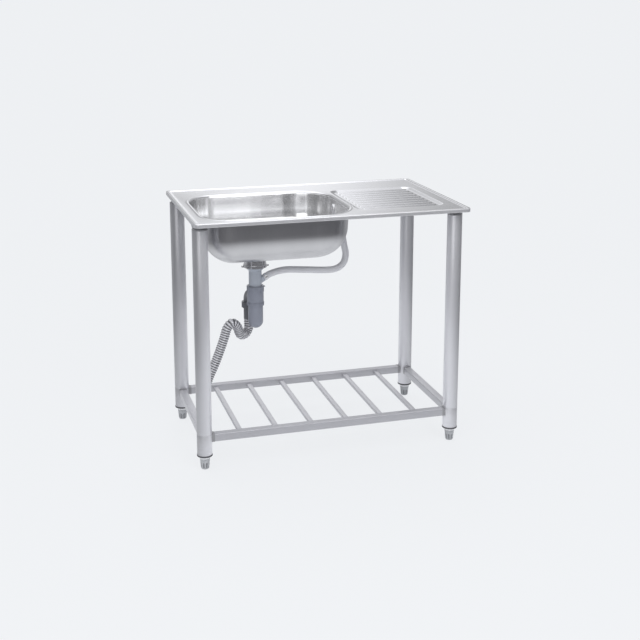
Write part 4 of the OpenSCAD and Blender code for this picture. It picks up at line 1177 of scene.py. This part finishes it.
@dataclass
class Stand:
    """The legs, the lower shelf and the feet."""

    tube_wall: float = 0.0015
    edge: float = 0.0007
    soft_share: float = 0.3
    rail_edge: float = 0.0028
    slat_edge: float = 0.0018
    slats: int = 6
    gap: float = 0.0001
    lip_w: float = 0.0008
    lip_h: float = 0.003
    flange_w: float = 0.0005

    def tube(self, node: str, axis: Vector, low_z: float, high_z: float) -> None:
        """Turns one leg tube with soft ends.

        Args:
            node: The CAD node that it stands for.
            axis: The leg's axis in plan.
            low_z: Its lower end.
            high_z: Its upper end.
        """
        low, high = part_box(node)
        radius = (high[0] - low[0]) / 2
        inner, edge, soft = radius - self.tube_wall, self.edge, self.edge * self.soft_share
        profile = [(inner, low_z), (radius - edge, low_z), (radius - soft, low_z + soft),
                   (radius, low_z + edge), (radius, high_z - edge), (radius - soft, high_z - soft),
                   (radius - edge, high_z), (inner, high_z)]
        publish(node + "_tube", turned(profile, axis), TUBE_STEEL, Body.FRAME.value, [node])

    def rail(self, node: str, finish: Finish, edge: float) -> None:
        """Makes one rail or slat in its node's place.

        Args:
            node: The CAD node that it stands for.
            finish: Its finish.
            edge: The radius of its long edges.
        """
        low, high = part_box(node)
        publish(node + "_tube", bar(low, high, edge), finish, Body.FRAME.value, [node])

    def lip(self, corner: Corner, axis: Vector) -> None:
        """Turns the insert's dark lip, which holds the sleeve's end; its darkness is a painted shadow line.

        Args:
            corner: The leg's corner.
            axis: The leg's axis in plan.
        """
        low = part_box("sleeve_" + corner.value)[0][2] - 2 * self.gap
        inner, outer, high = LEG_R + self.gap, LEG_R + self.lip_w, low + self.lip_h
        soft = self.lip_w * self.soft_share
        profile = [(inner, low), (outer - soft, low), (outer, low + soft), (outer, high - soft),
                   (outer - soft, high), (inner, high)]
        publish(f"insert_{corner.value}.lip", turned(profile, axis), SHADOW_LINE_FITTING, Body.FRAME.value)

    def insert(self, corner: Corner, axis: Vector) -> None:
        """Makes the pale insert of a leg's foot, with its flange dark like the lip as painted shadow.

        Args:
            corner: The leg's corner.
            axis: The leg's axis in plan.
        """
        made = rounded_copy("insert_" + corner.value, PALE_PLASTIC, Body.FRAME.value)

        def is_flange(face: bpy.types.MeshPolygon) -> bool:
            """Tells whether a face reaches as far out as the leg."""
            places = [made.data.vertices[index].co.to_2d() for index in face.vertices]
            return max((place - axis).length for place in places) > LEG_R - self.flange_w

        two_tone(made, SHADOW_LINE_FITTING, is_flange)

    def leg(self, corner: Corner) -> None:
        """Builds one leg with its socket, its sleeve and its foot.

        Args:
            corner: The leg's corner.
        """
        leg, sleeve = "leg_" + corner.value, "sleeve_" + corner.value
        low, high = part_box(leg)
        axis = (Vector(low) + Vector(high)).to_2d() / 2
        self.tube(leg, axis, low[2], high[2])
        self.tube(sleeve, axis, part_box(sleeve)[0][2], low[2] - self.gap)
        # The socket's dark colour is painted shade under the top.
        rounded_copy("socket_" + corner.value, SHADED_JOINT_STEEL, Body.FRAME.value)
        self.insert(corner, axis)
        self.lip(corner, axis)
        Foot("foot_" + corner.value, axis).build()

    def build(self) -> None:
        """Builds the legs, the feet and the shelf."""
        for corner in Corner:
            self.leg(corner)
        for node in ("rail_front", "rail_back"):
            self.rail(node, RAIL_STEEL, self.rail_edge)
        for node in ("rail_left", "rail_right"):
            self.rail(node, SLAT_STEEL, self.rail_edge)
        for index in range(1, self.slats + 1):
            self.rail(f"slat_{index}", SLAT_STEEL, self.slat_edge)
        # The saddles' dark colour is a painted shadow line where the rails meet the legs.
        rounded_copy("rail_saddles", SHADED_JOINT_STEEL, Body.FRAME.value)
        rounded_copy("stud_nuts", CHROME, Body.FRAME.value)


@dataclass
class Drainage:
    """The waste, the overflow and the bottle trap."""

    basket_edge: float = 0.0002
    finishes: dict = field(default_factory=lambda: {
        "waste_cup": CHROME, "waste_seal": RUBBER, "waste_lock_ring": TRAP_PLASTIC,
        "waste_clamp": CHROME, "overflow_cover": CHROME, "overflow_seal": RUBBER,
        "overflow_elbow": TRAP_PLASTIC, "overflow_screw": CHROME, "hose_clips": CHROME,
        "tailpiece": TAIL_PLASTIC, "tail_nut": TRAP_PLASTIC, "trap_head": TRAP_PLASTIC,
        "trap_seal": RUBBER, "outlet_bend": BEND_PLASTIC, "outlet_nut": BEND_PLASTIC,
        "outlet_pipe": BEND_PLASTIC})

    def build(self) -> None:
        """Builds every fitting under the bowl."""
        for node, finish in self.finishes.items():
            rounded_copy(node, finish, Body.FRAME.value)
        rounded_copy("strainer_basket", CHROME, Body.BASKET.value, self.basket_edge)
        rounded_copy("trap_cup", TRAP_PLASTIC, Body.CUP.value)
        rounded_copy("cup_nut", TRAP_PLASTIC, Body.CUP.value)


@dataclass
class Hoses:
    """The corrugated drain hose and the smooth overflow hose."""

    hose_r: float = 0.016
    groove_r: float = 0.0138
    bore_r: float = 0.012
    pitch: float = 0.008
    steps: int = 8
    sides: int = 28
    crest_gain: float = 1.35
    smooth_r: float = 0.011
    smooth_bore_r: float = 0.0086
    smooth_step: float = 0.003
    smooth_sides: int = 36
    overflow: list = field(default_factory=lambda: [
        (0.100, 0.020, 0.743), (0.100, 0.020, 0.7215), (0.114, 0.018, 0.637), (0.119, 0.014, 0.605),
        (0.110, 0.008, 0.576), (0.085, 0.002, 0.560), (0.046, -0.004, 0.558), (-0.033, -0.014, 0.567),
        (-0.102, -0.020, 0.573), (-0.15237, -0.020, 0.5625), (-0.17142, -0.020, 0.5515)])
    drain: list = field(default_factory=lambda: [
        (-0.21059, 0.04007, 0.400), (-0.21059, 0.04007, 0.368), (-0.222, 0.034, 0.350),
        (-0.243, 0.020, 0.352), (-0.258, 0.006, 0.385), (-0.276, -0.002, 0.400),
        (-0.293, -0.004, 0.384), (-0.304, -0.004, 0.350), (-0.318, -0.003, 0.310),
        (-0.336, -0.002, 0.264), (-0.356, -0.001, 0.220), (-0.370, 0.0, 0.176),
        (-0.378, 0.0, 0.130), (-0.380, 0.0, 0.080), (-0.380, 0.0, 0.040), (-0.380, 0.0, 0.003)])

    def drain_hose(self) -> None:
        spots = smooth_route(self.drain, self.pitch / self.steps)
        waves = [0.5 - 0.5 * math.cos(math.tau * index / self.steps) for index in range(len(spots))]
        rise = self.hose_r - self.groove_r
        radii = [self.groove_r + rise * min(1.0, self.crest_gain * wave) for wave in waves]
        mesh = swept(spots, radii, self.bore_r, self.sides)
        made = publish("drain_hose_tube", mesh, RIBBED_PLASTIC, Body.FRAME.value, ["drain_hose"])
        cuff = rounded_copy("hose_end_cuff", RUBBER, Body.FRAME.value)
        route_length(spots)
        [tuple(p) for p in spots[::self.steps]] + [tuple(spots[-1])]

    def overflow_hose(self) -> None:
        """Sweeps the smooth hose between the overflow and the tailpiece."""
        spots = smooth_route(self.overflow, self.smooth_step)
        mesh = swept(spots, [self.smooth_r] * len(spots), self.smooth_bore_r, self.smooth_sides)
        publish("overflow_hose_tube", mesh, HOSE_PLASTIC, Body.FRAME.value, ["overflow_hose"])

    def build(self) -> None:
        """Builds both hoses."""
        self.drain_hose()
        self.overflow_hose()


def main() -> None:
    """Builds the studio and every piece in order."""
    logging.basicConfig(level=logging.INFO, format="%(name)s: %(message)s")
    Studio().build()
    Hoses().build()
    SinkTop().build()
    Stand().build()
    Drainage().build()


if __name__ == "__main__":
    main()
